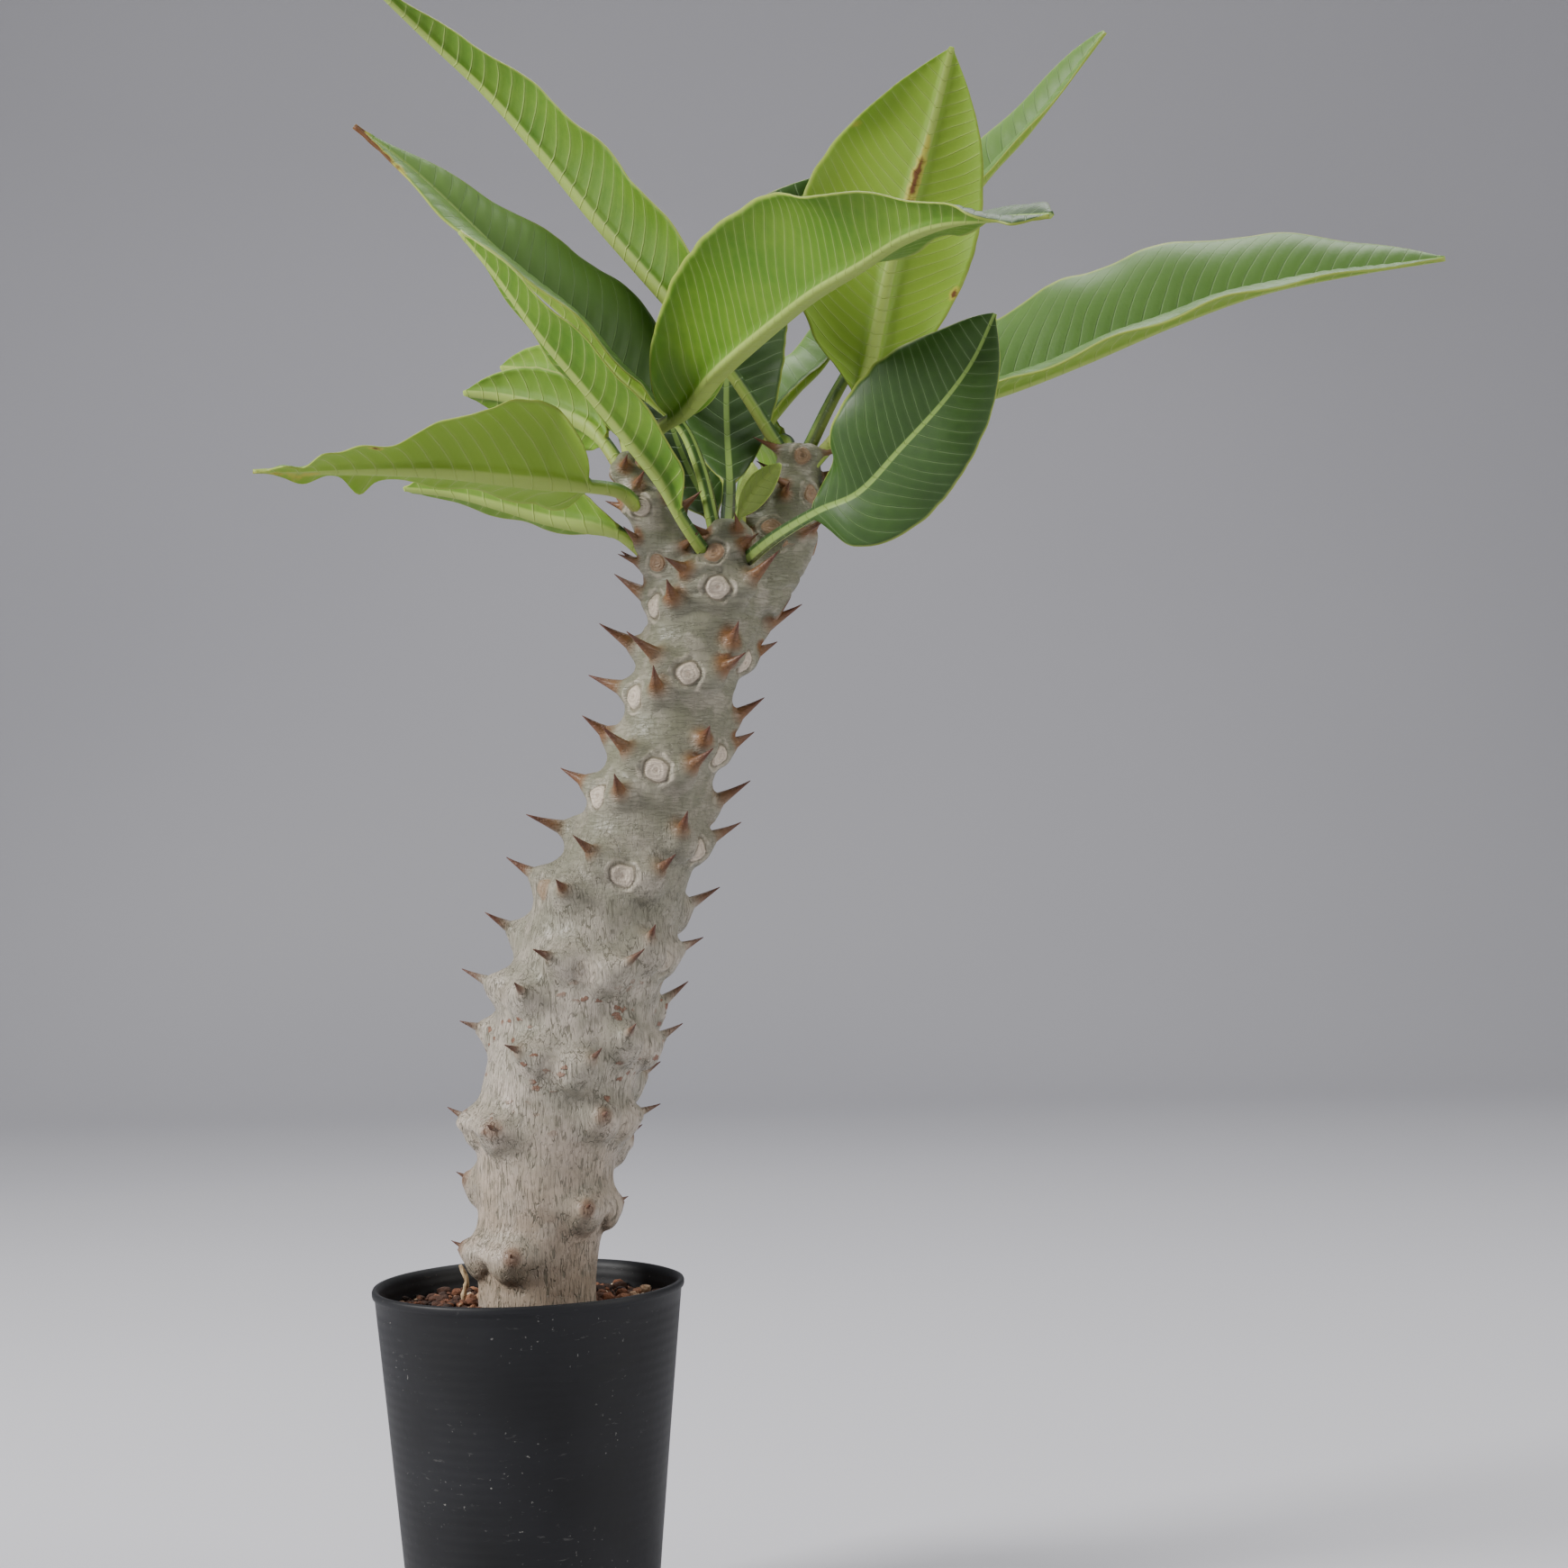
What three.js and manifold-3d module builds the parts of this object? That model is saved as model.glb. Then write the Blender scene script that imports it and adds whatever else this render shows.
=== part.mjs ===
// A potted Pachypodium baronii, in millimetres: a soft round nursery pot, its gritty soil, a dry root,
// a spiny grey stem that forks into three shoots, and the leaves, each one a closed solid of its own.
// +Z is up and the front is -Y. The origin is the centre of the pot's underside.
import * as THREE from "three";
import { mergeVertices } from "three/addons/utils/BufferGeometryUtils.js";
import Module from "manifold-3d";

const wasm = await Module();
wasm.setup();

// Clearance between neighbouring pieces
const GAP = 0.3;

// The pot: outer radii of rim and foot, wall, rolled lip, floor and drain holes
const POT = {
  rim: 37.5, foot: 29.5, height: 90, wall: 1.2, lip: 0.45, lipHeight: 2.2, floor: 1.6, chamfer: 1, sides: 44,
};
const DRAIN = { count: 5, radius: 2.8, ring: 20, turn: 0.3, sides: 12 };
// How far the soft wall bulges at the rim: [waves round the pot, depth, phase]
const BULGES = [[2, 0.45, 0.6], [3, 0.3, 2.1], [7, 0.12, 0.9]];

// The soil: the height of its top, its relief, and the depth of the hole that the stem stands in
const SOIL = { top: 83.4, relief: 0.7, rings: 4, hollow: 18 };
// The grit on the soil: how many grains, their radii, their proportions, and how far they stand up
const GRIT = { count: 46, small: 1.1, large: 2.7, shape: [1, 0.85, 0.7], lift: 0.1, clear: 0.8 };
// A dead root's end that sticks out of the soil at the back left
const DRY_ROOT = {
  radius: 0.65, sides: 6, steps: 10, hole: 1.1,
  route: [[-17.5, 13, 80], [-17.5, 13, 85], [-16.6, 12.4, 88.5], [-18.2, 12.8, 92.5]],
};
// Successive turns by this angle spread points evenly round a centre
const GOLDEN_ANGLE = 2.39996;

// The stem's axis: [height, x, y, radius]
const STEM = [
  [66, 2.4, 0, 14.4], [84, 2.4, 0, 14.4], [95, 2.6, 0, 14.6], [108, 3.8, 0, 15.6], [121, 5.4, 0, 16.9],
  [135, 7.5, 0, 17.8], [148, 11.3, 0.5, 18.4], [157, 13.7, 1, 18.5], [166, 16.8, 1, 18], [175, 19.2, 1, 17.3],
  [183, 23, 1, 16.4], [192, 27, 0.5, 15.3], [205, 32.2, 0, 13.8], [214, 35.3, -0.5, 13],
  [228, 40.1, -1, 12.2], [237, 42.4, -1, 12], [246, 45, -1, 12.4], [254, 47.9, -1, 13.2],
  [261, 50.3, -1, 13.6], [267, 52, -2, 12],
];
const STEM_SIDES = 24;
const STEM_ROWS = 42;
// Below this height over the soil the stem has no cushions, so that its hole in the soil can be plain
const BARE_FOOT = 4;

// The three shoots above the fork: their axes and the radius at each point
const SHOOTS = {
  left: {
    axis: [[46, -1, 256], [42, -2, 265], [38.3, -3, 273], [34.6, -4, 281], [31.6, -5, 288], [30, -5, 294]],
    radius: [9, 8, 6.6, 5.4, 4.4, 3],
  },
  right: {
    axis: [[57, 1, 257], [63, 3, 266], [67, 5, 274], [69.4, 6, 281], [71.2, 7, 289], [72, 7, 296.5]],
    radius: [10, 9.6, 8.6, 6.7, 5.8, 4.6],
  },
  middle: {
    axis: [[51, -4, 258], [53, -6.5, 265], [54, -8, 270], [54.3, -9, 276]],
    radius: [8, 6.4, 4.9, 3.6],
  },
};
const SHOOT_SIDES = 14;
const SHOOT_ROWS = 7;

// Leaf scars stand in ranks down the stem: the angle from the front, and the scars' heights
const RANKS = [
  [2, [263, 240, 217, 192, 168, 144]],
  [68, [247, 224, 202, 177, 152, 133, 110]],
  [-57, [253, 232, 207, 181, 157, 127]],
  [-41, [97]],
  [-122, [259, 242, 219, 195, 171, 146, 112]],
  [134, [254, 230, 210, 186, 161, 143, 125]],
];
// Scars on the shoots: [share of the shoot's length, angle from the front]
const SHOOT_SCARS = {
  left: [[0.3, -35], [0.42, -120], [0.62, -20], [0.72, -75], [0.86, -100], [0.5, 130]],
  right: [[0.36, -15], [0.42, 95], [0.6, -65], [0.68, 40], [0.8, 165], [0.93, 10], [0.5, -170]],
  middle: [[0.62, -25], [0.8, 95], [0.75, -140]],
};
// The cushion under each scar: height, half-length along the stem and half-width round it
const CUSHION = { height: 2.8, along: 6.5, round: 7.5 };
// Spines stand in pairs beside each scar: length at the top and foot of the stem, and the flared root
const SPINE = { top: 11.5, foot: 5, root: 3.5, waist: 1.8, waistAt: 0.36, sunk: 1.2, sides: 4, apart: 6.2 };
const SPINE_TOP_Z = 200;
const SPINE_FOOT_Z = 115;
// How spines point: degrees away from their scar, the climb of short and long ones, and its scatter
const SPINE_AIM = { splay: 24, most: 44, climb: 0.1, climbLong: 0.35, scatter: 0.4, turn: 8 };
// The seats of spines over the limb's bare radius, and how their length varies
const SPINE_SEAT = { stem: 0.2, shoot: -0.4, shortest: 0.85, spread: 0.3 };
// The shoots' younger spines beside the stem's: share of length and of thickness
const YOUNG_SPINE = { length: 0.72, thick: 0.68 };

// A leaf: where it is seated [shoot, share, angle], the route of its midrib, the share that is stalk,
// half-widths left and right, where they are widest, how soon they narrow, the roll of its upper side from
// straight back and the fold of its halves, both from base to tip, and its margin's waves.
const LEAVES = [
  {
    name: "leaf_long_left",
    seat: ["right", 0.93, -62],
    route: [[56, 0, 315], [40, 3, 334], [22, 8, 356], [8, 10, 374], [-5, 9, 389], [-18, 5, 401],
      [-34, -6, 415]],
    stalk: 0.18, width: [15.5, 15], widest: 0.34, full: 1.7, roll: [68, 70, 70], fold: [48, 46, 36],
    wave: 0.8, waves: 5,
  },
  {
    name: "leaf_dry_tip",
    seat: ["middle", 0.8, -105],
    route: [[48, -5, 291], [43, -3, 302], [31, -4, 312], [18, -6, 326], [2, -8, 341], [-21, -10, 364],
      [-35, -12, 375]],
    stalk: 0.22, width: [15, 21], widest: [0.36, 0.29], full: 2, roll: [116, 116, 140], fold: [40, 38, 18],
    wave: 0.7, waves: 4,
  },
  {
    name: "leaf_left_keel",
    seat: ["middle", 0.45, -62],
    route: [[44, -17, 276], [40, -22, 283], [32, -30, 293], [22, -36, 305], [12, -40, 317], [2, -42, 331],
      [-6, -42, 341]],
    stalk: 0.16, width: [15, 12], widest: 0.42, full: 1.6, roll: [72, 72, 72], fold: [28, 26, 20],
    wave: 0.6, waves: 4,
  },
  {
    name: "leaf_front",
    seat: ["left", 0.86, 30],
    route: [[37, -15, 298], [44, -23, 301], [54, -36, 308], [64, -52, 313], [75, -68, 318], [85, -82, 321],
      [94, -94, 324], [103, -104, 325], [112, -112, 324], [123, -122, 322]],
    stalk: 0.13, width: [22.5, 26.5], widest: [0.46, 0.44], full: 1.25, roll: [-66, -63, -62, -80, -132],
    fold: [60, 58, 54, 40, 18], wave: 0.3, waves: 4,
  },
  {
    name: "leaf_upright",
    seat: ["right", 0.84, 66],
    route: [[84, 10, 302], [90, 20, 316], [93, 24, 328], [97, 27, 345], [103, 28, 364], [108, 26, 379],
      [114, 18, 400]],
    stalk: 0.2, width: [20, 27], widest: 0.5, full: 2, roll: [0, 0, 0], fold: [14, 12, 10],
    wave: 1, waves: 4,
  },
  {
    name: "leaf_front_right",
    seat: ["middle", 0.4, 62],
    route: [[65, -20, 270], [76, -30, 275], [85, -36, 278], [95, -44, 287], [106, -50, 298], [112, -52, 306],
      [117, -54, 316]],
    stalk: 0.3, width: [18, 15.5], widest: [0.52, 0.38], full: 1.6, roll: [180, 180, 180], fold: [14, 12, 10],
    wave: 0.8, waves: 3,
  },
  {
    name: "leaf_far_right",
    seat: ["right", 0.64, 88],
    route: [[88, 2, 296], [104, 1, 304], [123, 0, 308.5], [142, -4, 314.5], [164, -8, 322.5], [186, -12, 329],
      [207, -16, 332], [229, -20, 334]],
    stalk: 0.16, width: [25, 21], widest: 0.42, full: 1.6, roll: [-122, -122, -122], fold: [42, 42, 32],
    wave: 0.9, waves: 5,
  },
  {
    name: "leaf_tall_right",
    seat: ["right", 0.95, 165],
    route: [[82, 22, 314], [94, 38, 334], [110, 50, 357], [125, 52, 376], [135, 50, 386], [156, 40, 410]],
    stalk: 0.22, width: [10.5, 10], widest: 0.58, full: 1.5, roll: [-118, -118, -118], fold: [42, 42, 30],
    wave: 0.6, waves: 4,
  },
  {
    name: "leaf_centre",
    seat: ["middle", 0.97, -170],
    route: [[54.5, 0, 286], [54, 7, 300], [54, 12, 312], [55, 18, 327], [59, 24, 343], [67, 27, 356],
      [80, 28, 370]],
    stalk: 0.12, width: [15, 15], widest: 0.46, full: 1.6, roll: [170, 168, 175], fold: [16, 12, 10],
    wave: 0.7, waves: 4,
  },
  {
    name: "leaf_low_left",
    seat: ["left", 0.62, -45],
    route: [[28, -15, 283.5], [21, -18, 284.5], [9, -22, 285], [-12, -26, 287], [-33, -28, 288],
      [-58, -30, 288]],
    stalk: 0.19, width: [21.5, 15], widest: 0.2, full: 3.4, roll: [50, 60, 60], fold: [32, 34, -20],
    wave: 0.9, waves: 4,
  },
  {
    name: "leaf_low_left_under",
    seat: ["left", 0.34, -90],
    route: [[27, -3, 275], [18, -1, 277], [8, 2, 279.5], [-1, 4, 282.5], [-14, 8, 286.5], [-28, 12, 289]],
    stalk: 0.14, width: [12, 10], widest: 0.42, full: 1.6, roll: [60, 60, 60], fold: [36, 34, 26],
    wave: 0.6, waves: 3,
  },
  {
    name: "leaf_left_short",
    seat: ["left", 0.84, -105],
    route: [[22, 2, 300], [11, 8, 307], [-3, 14, 312], [-13, 18, 314]],
    stalk: 0.2, width: [10, 10], widest: 0.42, full: 1.6, roll: [40, 40, 40], fold: [25, 25, 20],
    wave: 0.5, waves: 2,
  },
  {
    name: "leaf_left_behind",
    seat: ["left", 0.94, 160],
    route: [[27, 10, 304], [18, 26, 315], [6, 42, 323], [-7, 54, 327]],
    stalk: 0.2, width: [9, 10], widest: 0.5, full: 1.6, roll: [35, 35, 35], fold: [20, 20, 14],
    wave: 0.5, waves: 3,
  },
  {
    name: "leaf_middle_behind",
    seat: ["middle", 0.55, -150],
    route: [[49, 5, 281], [44, 12, 292], [40, 18, 303], [37, 25, 315], [34, 34, 331]],
    stalk: 0.16, width: [11, 11], widest: 0.5, full: 1.6, roll: [180, 180, 180], fold: [14, 12, 10],
    wave: 0.5, waves: 3,
  },
  {
    name: "leaf_back_folded",
    seat: ["middle", 0.8, 150],
    route: [[57, 8, 287], [59, 18, 298], [64, 26, 306], [71, 33, 315], [79, 40, 324], [87, 48, 340],
      [93, 54, 356]],
    stalk: 0.22, width: [11, 10], widest: 0.45, full: 1.6, roll: [-125, -125, -125], fold: [42, 42, 30],
    wave: 0.4, waves: 3,
  },
  {
    name: "leaf_back_right",
    seat: ["right", 0.9, 112],
    route: [[83, 17, 302], [93, 36, 310], [105, 57, 318], [117, 78, 322], [127, 94, 319]],
    stalk: 0.2, width: [16, 16], widest: 0.45, full: 1.6, roll: [-70, -70, -70], fold: [22, 20, 16],
    wave: 0.7, waves: 4,
  },
  {
    name: "leaf_back_left",
    seat: ["right", 0.9, -145],
    route: [[70, 24, 300], [64, 46, 306], [57, 68, 311], [49, 90, 313], [42, 106, 308]],
    stalk: 0.2, width: [15, 15], widest: 0.45, full: 1.6, roll: [60, 60, 60], fold: [22, 20, 16],
    wave: 0.7, waves: 4,
  },
  {
    name: "leaf_young",
    seat: ["middle", 0.86, 35],
    route: [[58.5, -14, 278.5], [62.5, -16.5, 283.5], [67.5, -18.5, 288]],
    stalk: 0.2, width: [3.6, 3.6], widest: 0.5, full: 1.6, roll: [20, 20, 20], fold: [26, 22, 16],
    wave: 0.1, waves: 2,
  },
  {
    name: "leaf_bud",
    seat: ["middle", 0.97, 70],
    route: [[58, -7, 281.5], [60, -5, 286], [60.5, -2.5, 290.5]],
    stalk: 0.2, width: [2.6, 2.6], widest: 0.5, full: 1.6, roll: [20, 20, 20], fold: [24, 22, 16],
    wave: 0.1, waves: 2,
  },
];
// Every blade: thickness, the depth of the rib under it at stalk and tip, half the width of its flat top
// and of the swell below, how the margins curl back, and the least half-width along the stalk and at the tip
const BLADE = {
  thick: 0.75, ribStalk: 3, ribTip: 1, ribHalf: 0.75, swell: 2.1, curl: 14, stalkHalf: 1.7, tipHalf: 0.4,
  sunk: 2.2, opening: 8,
};
// A leaf narrower than this half-width has its stalk and rib scaled down with it
const FULL_WIDTH = 10;
// Rows along a blade by the leaf's least length
const BLADE_ROWS = [[90, 12], [40, 8], [0, 5]];
const STALK_ROWS = 2;
// Where the lengthwise rows of a blade run, from the left margin to the right one, with two on the rib
const ON_RIB = 0.1;
const ACROSS = [-1, -0.55, -ON_RIB, ON_RIB, 0.55, 1];

const COLOURS = {
  pot: 0x26282b, soil: 0x6a4a3a, dryRoot: 0xc9b08a, stem: 0x98968c, leafDark: 0x2f6b2c, leafLight: 0x7ea53a,
};
const ROUGHNESS = { pot: 0.55, soil: 0.95, stem: 0.75, leaf: 0.45 };

const { cos, sin, PI, exp, max, min, abs, floor } = Math;
const radians = THREE.MathUtils.degToRad;

// A repeatable scatter value from 0 to 1 for each whole number
function scatter(number) {
  const value = sin(number * 12.9898) * 43758.5453;
  return value - floor(value);
}

// A closed geometry as a manifold-3d solid
function toSolid(geometry) {
  const bare = geometry.clone();
  bare.deleteAttribute("normal");
  bare.deleteAttribute("uv");
  const merged = mergeVertices(bare, 1e-4);
  const vertProperties = new Float32Array(merged.attributes.position.array);
  const triVerts = new Uint32Array(merged.index.array);
  return new wasm.Manifold(new wasm.Mesh({ numProp: 3, vertProperties, triVerts }));
}

// A manifold-3d solid as a geometry
function toGeometry(solid) {
  const mesh = solid.getMesh();
  const positions = new Float32Array(mesh.numVert * 3);
  for (let i = 0; i < mesh.numVert; i++) {
    const start = i * mesh.numProp;
    positions.set(mesh.vertProperties.subarray(start, start + 3), i * 3);
  }
  const geometry = new THREE.BufferGeometry();
  geometry.setAttribute("position", new THREE.BufferAttribute(positions, 3));
  geometry.setIndex(new THREE.BufferAttribute(mesh.triVerts, 1));
  return geometry;
}

// The main body of a solid, without the scraps that a cut leaves
function largest(solid) {
  return solid.decompose().sort((a, b) => b.volume() - a.volume())[0];
}

function named(name, geometry, color, roughness) {
  const material = new THREE.MeshStandardMaterial({ color, roughness, metalness: 0 });
  geometry.computeVertexNormals();
  const mesh = new THREE.Mesh(geometry, material);
  mesh.name = name;
  return mesh;
}

// Moves every vertex of a geometry to where place(vertex) puts it
function reshape(geometry, place) {
  const position = geometry.attributes.position;
  const vertex = new THREE.Vector3();
  for (let i = 0; i < position.count; i++) {
    vertex.fromBufferAttribute(position, i);
    const moved = place(vertex, i);
    position.setXYZ(i, moved.x, moved.y, moved.z);
  }
  return geometry;
}

// Pot and soil

function potRadius(height) {
  return POT.foot + ((POT.rim - POT.foot) * height) / POT.height;
}

// The soft wall's bulge at an angle, which grows from the foot to the rim
function bulge(angle, height) {
  const wave = BULGES.reduce((sum, [count, depth, phase]) => sum + depth * sin(count * angle + phase), 0);
  return wave * (height / POT.height) ** 2;
}

// A lathe profile of [radius, height] pairs turned about +Z, with the pot's bulge where follow is true
function turned(profile, follow, segments = POT.sides) {
  const points = profile.map(([radius, height]) => new THREE.Vector2(radius, height));
  const lathe = new THREE.LatheGeometry(points, segments).rotateX(PI / 2);
  return reshape(lathe, (v) => {
    const radius = Math.hypot(v.x, v.y);
    if (!follow || radius < 1e-6) return v;
    const grown = 1 + bulge(Math.atan2(v.y, v.x), v.z) / potRadius(v.z);
    return v.set(v.x * grown, v.y * grown, v.z);
  });
}

// An upright cylinder round a centre, as a solid to cut with
function upright(radius, height, sides, [x, y, z]) {
  const cylinder = new THREE.CylinderGeometry(radius, radius, height, sides).rotateX(PI / 2);
  return toSolid(cylinder.translate(x, y, z));
}

function potGeometry() {
  const { height, wall, lip, lipHeight, chamfer, floor: base } = POT;
  const profile = [
    [0, 0], [POT.foot - chamfer, 0], [potRadius(chamfer), chamfer],
    [potRadius(height / 3), height / 3], [potRadius((2 * height) / 3), (2 * height) / 3],
    [potRadius(height - lipHeight), height - lipHeight], [potRadius(height) + lip, height - lipHeight + 0.5],
    [potRadius(height) + lip, height - 0.3], [potRadius(height), height],
    [potRadius(height) - wall, height - 0.2], [potRadius((2 * height) / 3) - wall, (2 * height) / 3],
    [potRadius(height / 3) - wall, height / 3], [potRadius(base) - wall, base], [0, base],
  ];
  let pot = toSolid(turned(profile, true));
  for (let i = 0; i < DRAIN.count; i++) {
    const angle = (2 * PI * i) / DRAIN.count + DRAIN.turn;
    const at = [DRAIN.ring * cos(angle), DRAIN.ring * sin(angle), base / 2];
    pot = pot.subtract(upright(DRAIN.radius, 4 * base, DRAIN.sides, at));
  }
  return toGeometry(pot);
}

// Low humps over the soil's top, flat where the stem and the wall meet it
function soilRelief(x, y) {
  return SOIL.relief * (sin(x * 0.31 + 1.2) * cos(y * 0.27) + 0.4 * sin(x * 0.77 + y * 0.63));
}

function soilGeometry() {
  const inner = (height) => potRadius(height) - POT.wall - GAP;
  const bottom = POT.floor + GAP;
  const profile = [
    [0, bottom], [inner(bottom), bottom],
    [inner(POT.height / 3), POT.height / 3], [inner((2 * POT.height) / 3), (2 * POT.height) / 3],
    [inner(SOIL.top), SOIL.top],
  ];
  for (let ring = SOIL.rings - 1; ring >= 0; ring--)
    profile.push([(inner(SOIL.top) * ring) / SOIL.rings, SOIL.top]);
  const body = turned(profile, true);
  reshape(body, (v) => (v.z > SOIL.top - 0.01 ? v.setZ(v.z + soilRelief(v.x, v.y)) : v));
  let soil = toSolid(body);
  const [, stemX, stemY, stemRadius] = STEM[1];
  for (let i = 0; i < GRIT.count; i++) {
    const angle = i * GOLDEN_ANGLE;
    const size = THREE.MathUtils.lerp(GRIT.small, GRIT.large, scatter(i + 1) ** 2);
    const nearest = stemRadius + GAP + 0.7 * size;
    const furthest = inner(SOIL.top) - GRIT.clear - size;
    const radius = Math.sqrt(THREE.MathUtils.lerp(nearest ** 2, furthest ** 2, (i + 0.5) / GRIT.count));
    const grain = new THREE.OctahedronGeometry(size).scale(...GRIT.shape);
    grain.rotateZ(2 * PI * scatter(i + 200)).rotateX(scatter(i + 300));
    const x = stemX * (1 - radius / furthest) + radius * cos(angle);
    const y = radius * sin(angle);
    grain.translate(x, y, SOIL.top + soilRelief(x, y) + GRIT.lift * size);
    soil = soil.add(toSolid(grain));
  }
  const stemHole = upright(stemRadius + GAP + 0.1, 2 * SOIL.hollow, STEM_SIDES, [stemX, stemY, SOIL.top]);
  const [rootX, rootY, rootZ] = DRY_ROOT.route[0];
  const depth = 20;
  const rootHole = upright(DRY_ROOT.hole, depth, 8, [rootX, rootY, rootZ - GAP + depth / 2]);
  return toGeometry(largest(soil.subtract(stemHole).subtract(rootHole)));
}

function dryRootGeometry() {
  const points = DRY_ROOT.route.map((point) => new THREE.Vector3(...point));
  const section = new THREE.Shape();
  for (let i = 0; i < DRY_ROOT.sides; i++) {
    const angle = (2 * PI * i) / DRY_ROOT.sides;
    const point = [DRY_ROOT.radius * cos(angle), DRY_ROOT.radius * sin(angle)];
    i ? section.lineTo(...point) : section.moveTo(...point);
  }
  section.closePath();
  const extrudePath = new THREE.CatmullRomCurve3(points);
  return new THREE.ExtrudeGeometry(section, { steps: DRY_ROOT.steps, extrudePath, bevelEnabled: false });
}

// Stem, shoots and spines

// A smooth axis with a radius and a frame at each share of its length
class Limb {
  constructor(points, radii) {
    this.curve = new THREE.CatmullRomCurve3(points, false, "centripetal");
    this.radii = radii;
  }

  radius(share) {
    const at = min(max(share, 0), 1) * (this.radii.length - 1);
    const low = min(floor(at), this.radii.length - 2);
    return THREE.MathUtils.lerp(this.radii[low], this.radii[low + 1], at - low);
  }

  // The direction that points out at an angle from the front, square to the axis
  outward(share, degrees) {
    const tangent = this.curve.getTangent(share);
    const front = new THREE.Vector3(0, -1, 0);
    front.addScaledVector(tangent, -front.dot(tangent)).normalize();
    const side = new THREE.Vector3().crossVectors(front, tangent).negate();
    const angle = radians(degrees);
    return front.multiplyScalar(cos(angle)).addScaledVector(side, sin(angle));
  }

  surface(share, degrees, lift = 0) {
    const reach = this.radius(share) + lift;
    return this.curve.getPoint(share).addScaledVector(this.outward(share, degrees), reach);
  }
}

const stemLimb = new Limb(STEM.map(([z, x, y]) => new THREE.Vector3(x, y, z)), STEM.map((row) => row[3]));
const shootLimbs = Object.fromEntries(Object.entries(SHOOTS).map(([name, { axis, radius }]) =>
  [name, new Limb(axis.map((point) => new THREE.Vector3(...point)), radius)]));

// The share of the stem's curve at a height
function stemShare(height) {
  const above = STEM.findIndex(([z]) => z >= height);
  const low = max(above - 1, 0);
  return (low + (height - STEM[low][0]) / (STEM[low + 1][0] - STEM[low][0])) / (STEM.length - 1);
}

// The scars as [limb, share, angle, spine length], with the stem's spines shorter towards the ground
function allScars() {
  const scars = [];
  RANKS.forEach(([angle, heights]) => heights.forEach((height) => {
    const grown = min(max((height - SPINE_FOOT_Z) / (SPINE_TOP_Z - SPINE_FOOT_Z), 0), 1);
    const turn = angle + SPINE_AIM.turn * (scatter(height) - 0.5);
    scars.push([stemLimb, stemShare(height), turn, THREE.MathUtils.lerp(SPINE.foot, SPINE.top, grown)]);
  }));
  for (const [name, rows] of Object.entries(SHOOT_SCARS))
    for (const [share, angle] of rows)
      scars.push([shootLimbs[name], share, angle, YOUNG_SPINE.length * SPINE.top]);
  return scars;
}

// How far the scars' cushions raise the stem at a share and angle
function cushions(scars, share, degrees) {
  const at = stemLimb.curve.getPoint(share);
  let raised = 0;
  for (const [limb, scarShare, scarAngle] of scars) {
    if (limb !== stemLimb) continue;
    const along = at.z - limb.curve.getPoint(scarShare).z;
    const turn = ((((degrees - scarAngle) % 360) + 540) % 360) - 180;
    const round = radians(turn) * limb.radius(share);
    raised += CUSHION.height * exp(-((along / CUSHION.along) ** 2) - (round / CUSHION.round) ** 2);
  }
  return raised;
}

// A limb's body: a cylinder whose rings are laid along the axis and whose ends close on it
function limbGeometry(limb, sides, rows, raise) {
  const tube = new THREE.CylinderGeometry(1, 1, 1, sides, rows);
  return reshape(tube, (v) => {
    const share = v.y + 0.5;
    const centre = limb.curve.getPoint(share);
    if (Math.hypot(v.x, v.z) < 1e-6) return centre;
    const degrees = THREE.MathUtils.radToDeg(Math.atan2(v.x, v.z));
    const reach = limb.radius(share) + raise(share, degrees);
    return centre.addScaledVector(limb.outward(share, degrees), reach);
  });
}

function spineGeometry(foot, direction, length, size) {
  const { root, waist, waistAt, sunk, sides } = SPINE;
  const profile = [[0, -sunk], [root, -sunk], [waist, waistAt * length], [0, length]];
  const points = profile.map(([r, h]) => new THREE.Vector2(r * size, h));
  const spine = new THREE.LatheGeometry(points, sides);
  spine.applyQuaternion(new THREE.Quaternion().setFromUnitVectors(new THREE.Vector3(0, 1, 0), direction));
  return spine.translate(foot.x, foot.y, foot.z);
}

// The two spines beside a scar: they lean out to both sides and climb, the long ones more
function spinePair([limb, share, angle, length], number, margin) {
  const apart = THREE.MathUtils.radToDeg(SPINE.apart / limb.radius(share));
  const isStem = limb === stemLimb;
  const size = (isStem ? 1 : YOUNG_SPINE.thick) + margin / 2;
  return [-1, 1].map((side) => {
    const foot = angle + side * min(apart, SPINE_AIM.most);
    const seat = limb.surface(share, foot, isStem ? SPINE_SEAT.stem : SPINE_SEAT.shoot);
    const direction = limb.outward(share, angle + side * (apart + SPINE_AIM.splay)).setZ(0).normalize();
    const varied = SPINE_AIM.scatter * (scatter(7 * number + side) - 0.5);
    direction.setZ(SPINE_AIM.climb + SPINE_AIM.climbLong * (length / SPINE.top) + varied).normalize();
    const grown = length * (SPINE_SEAT.shortest + SPINE_SEAT.spread * scatter(11 * number + side));
    return spineGeometry(seat, direction, grown + margin, size);
  });
}

// The whole woody body, grown outwards by a margin
function stemSolid(margin) {
  const scars = allScars();
  const ground = stemShare(SOIL.top + BARE_FOOT);
  const raise = (share, degrees) => margin + (share < ground ? 0 : cushions(scars, share, degrees));
  const limbs = [toSolid(limbGeometry(stemLimb, STEM_SIDES, STEM_ROWS, raise))];
  for (const limb of Object.values(shootLimbs))
    limbs.push(toSolid(limbGeometry(limb, SHOOT_SIDES, SHOOT_ROWS, () => margin)));
  const spines = scars.flatMap((scar, number) => spinePair(scar, number, margin)).map(toSolid);
  return wasm.Manifold.union([...limbs, ...spines]);
}

// Leaves

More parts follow.
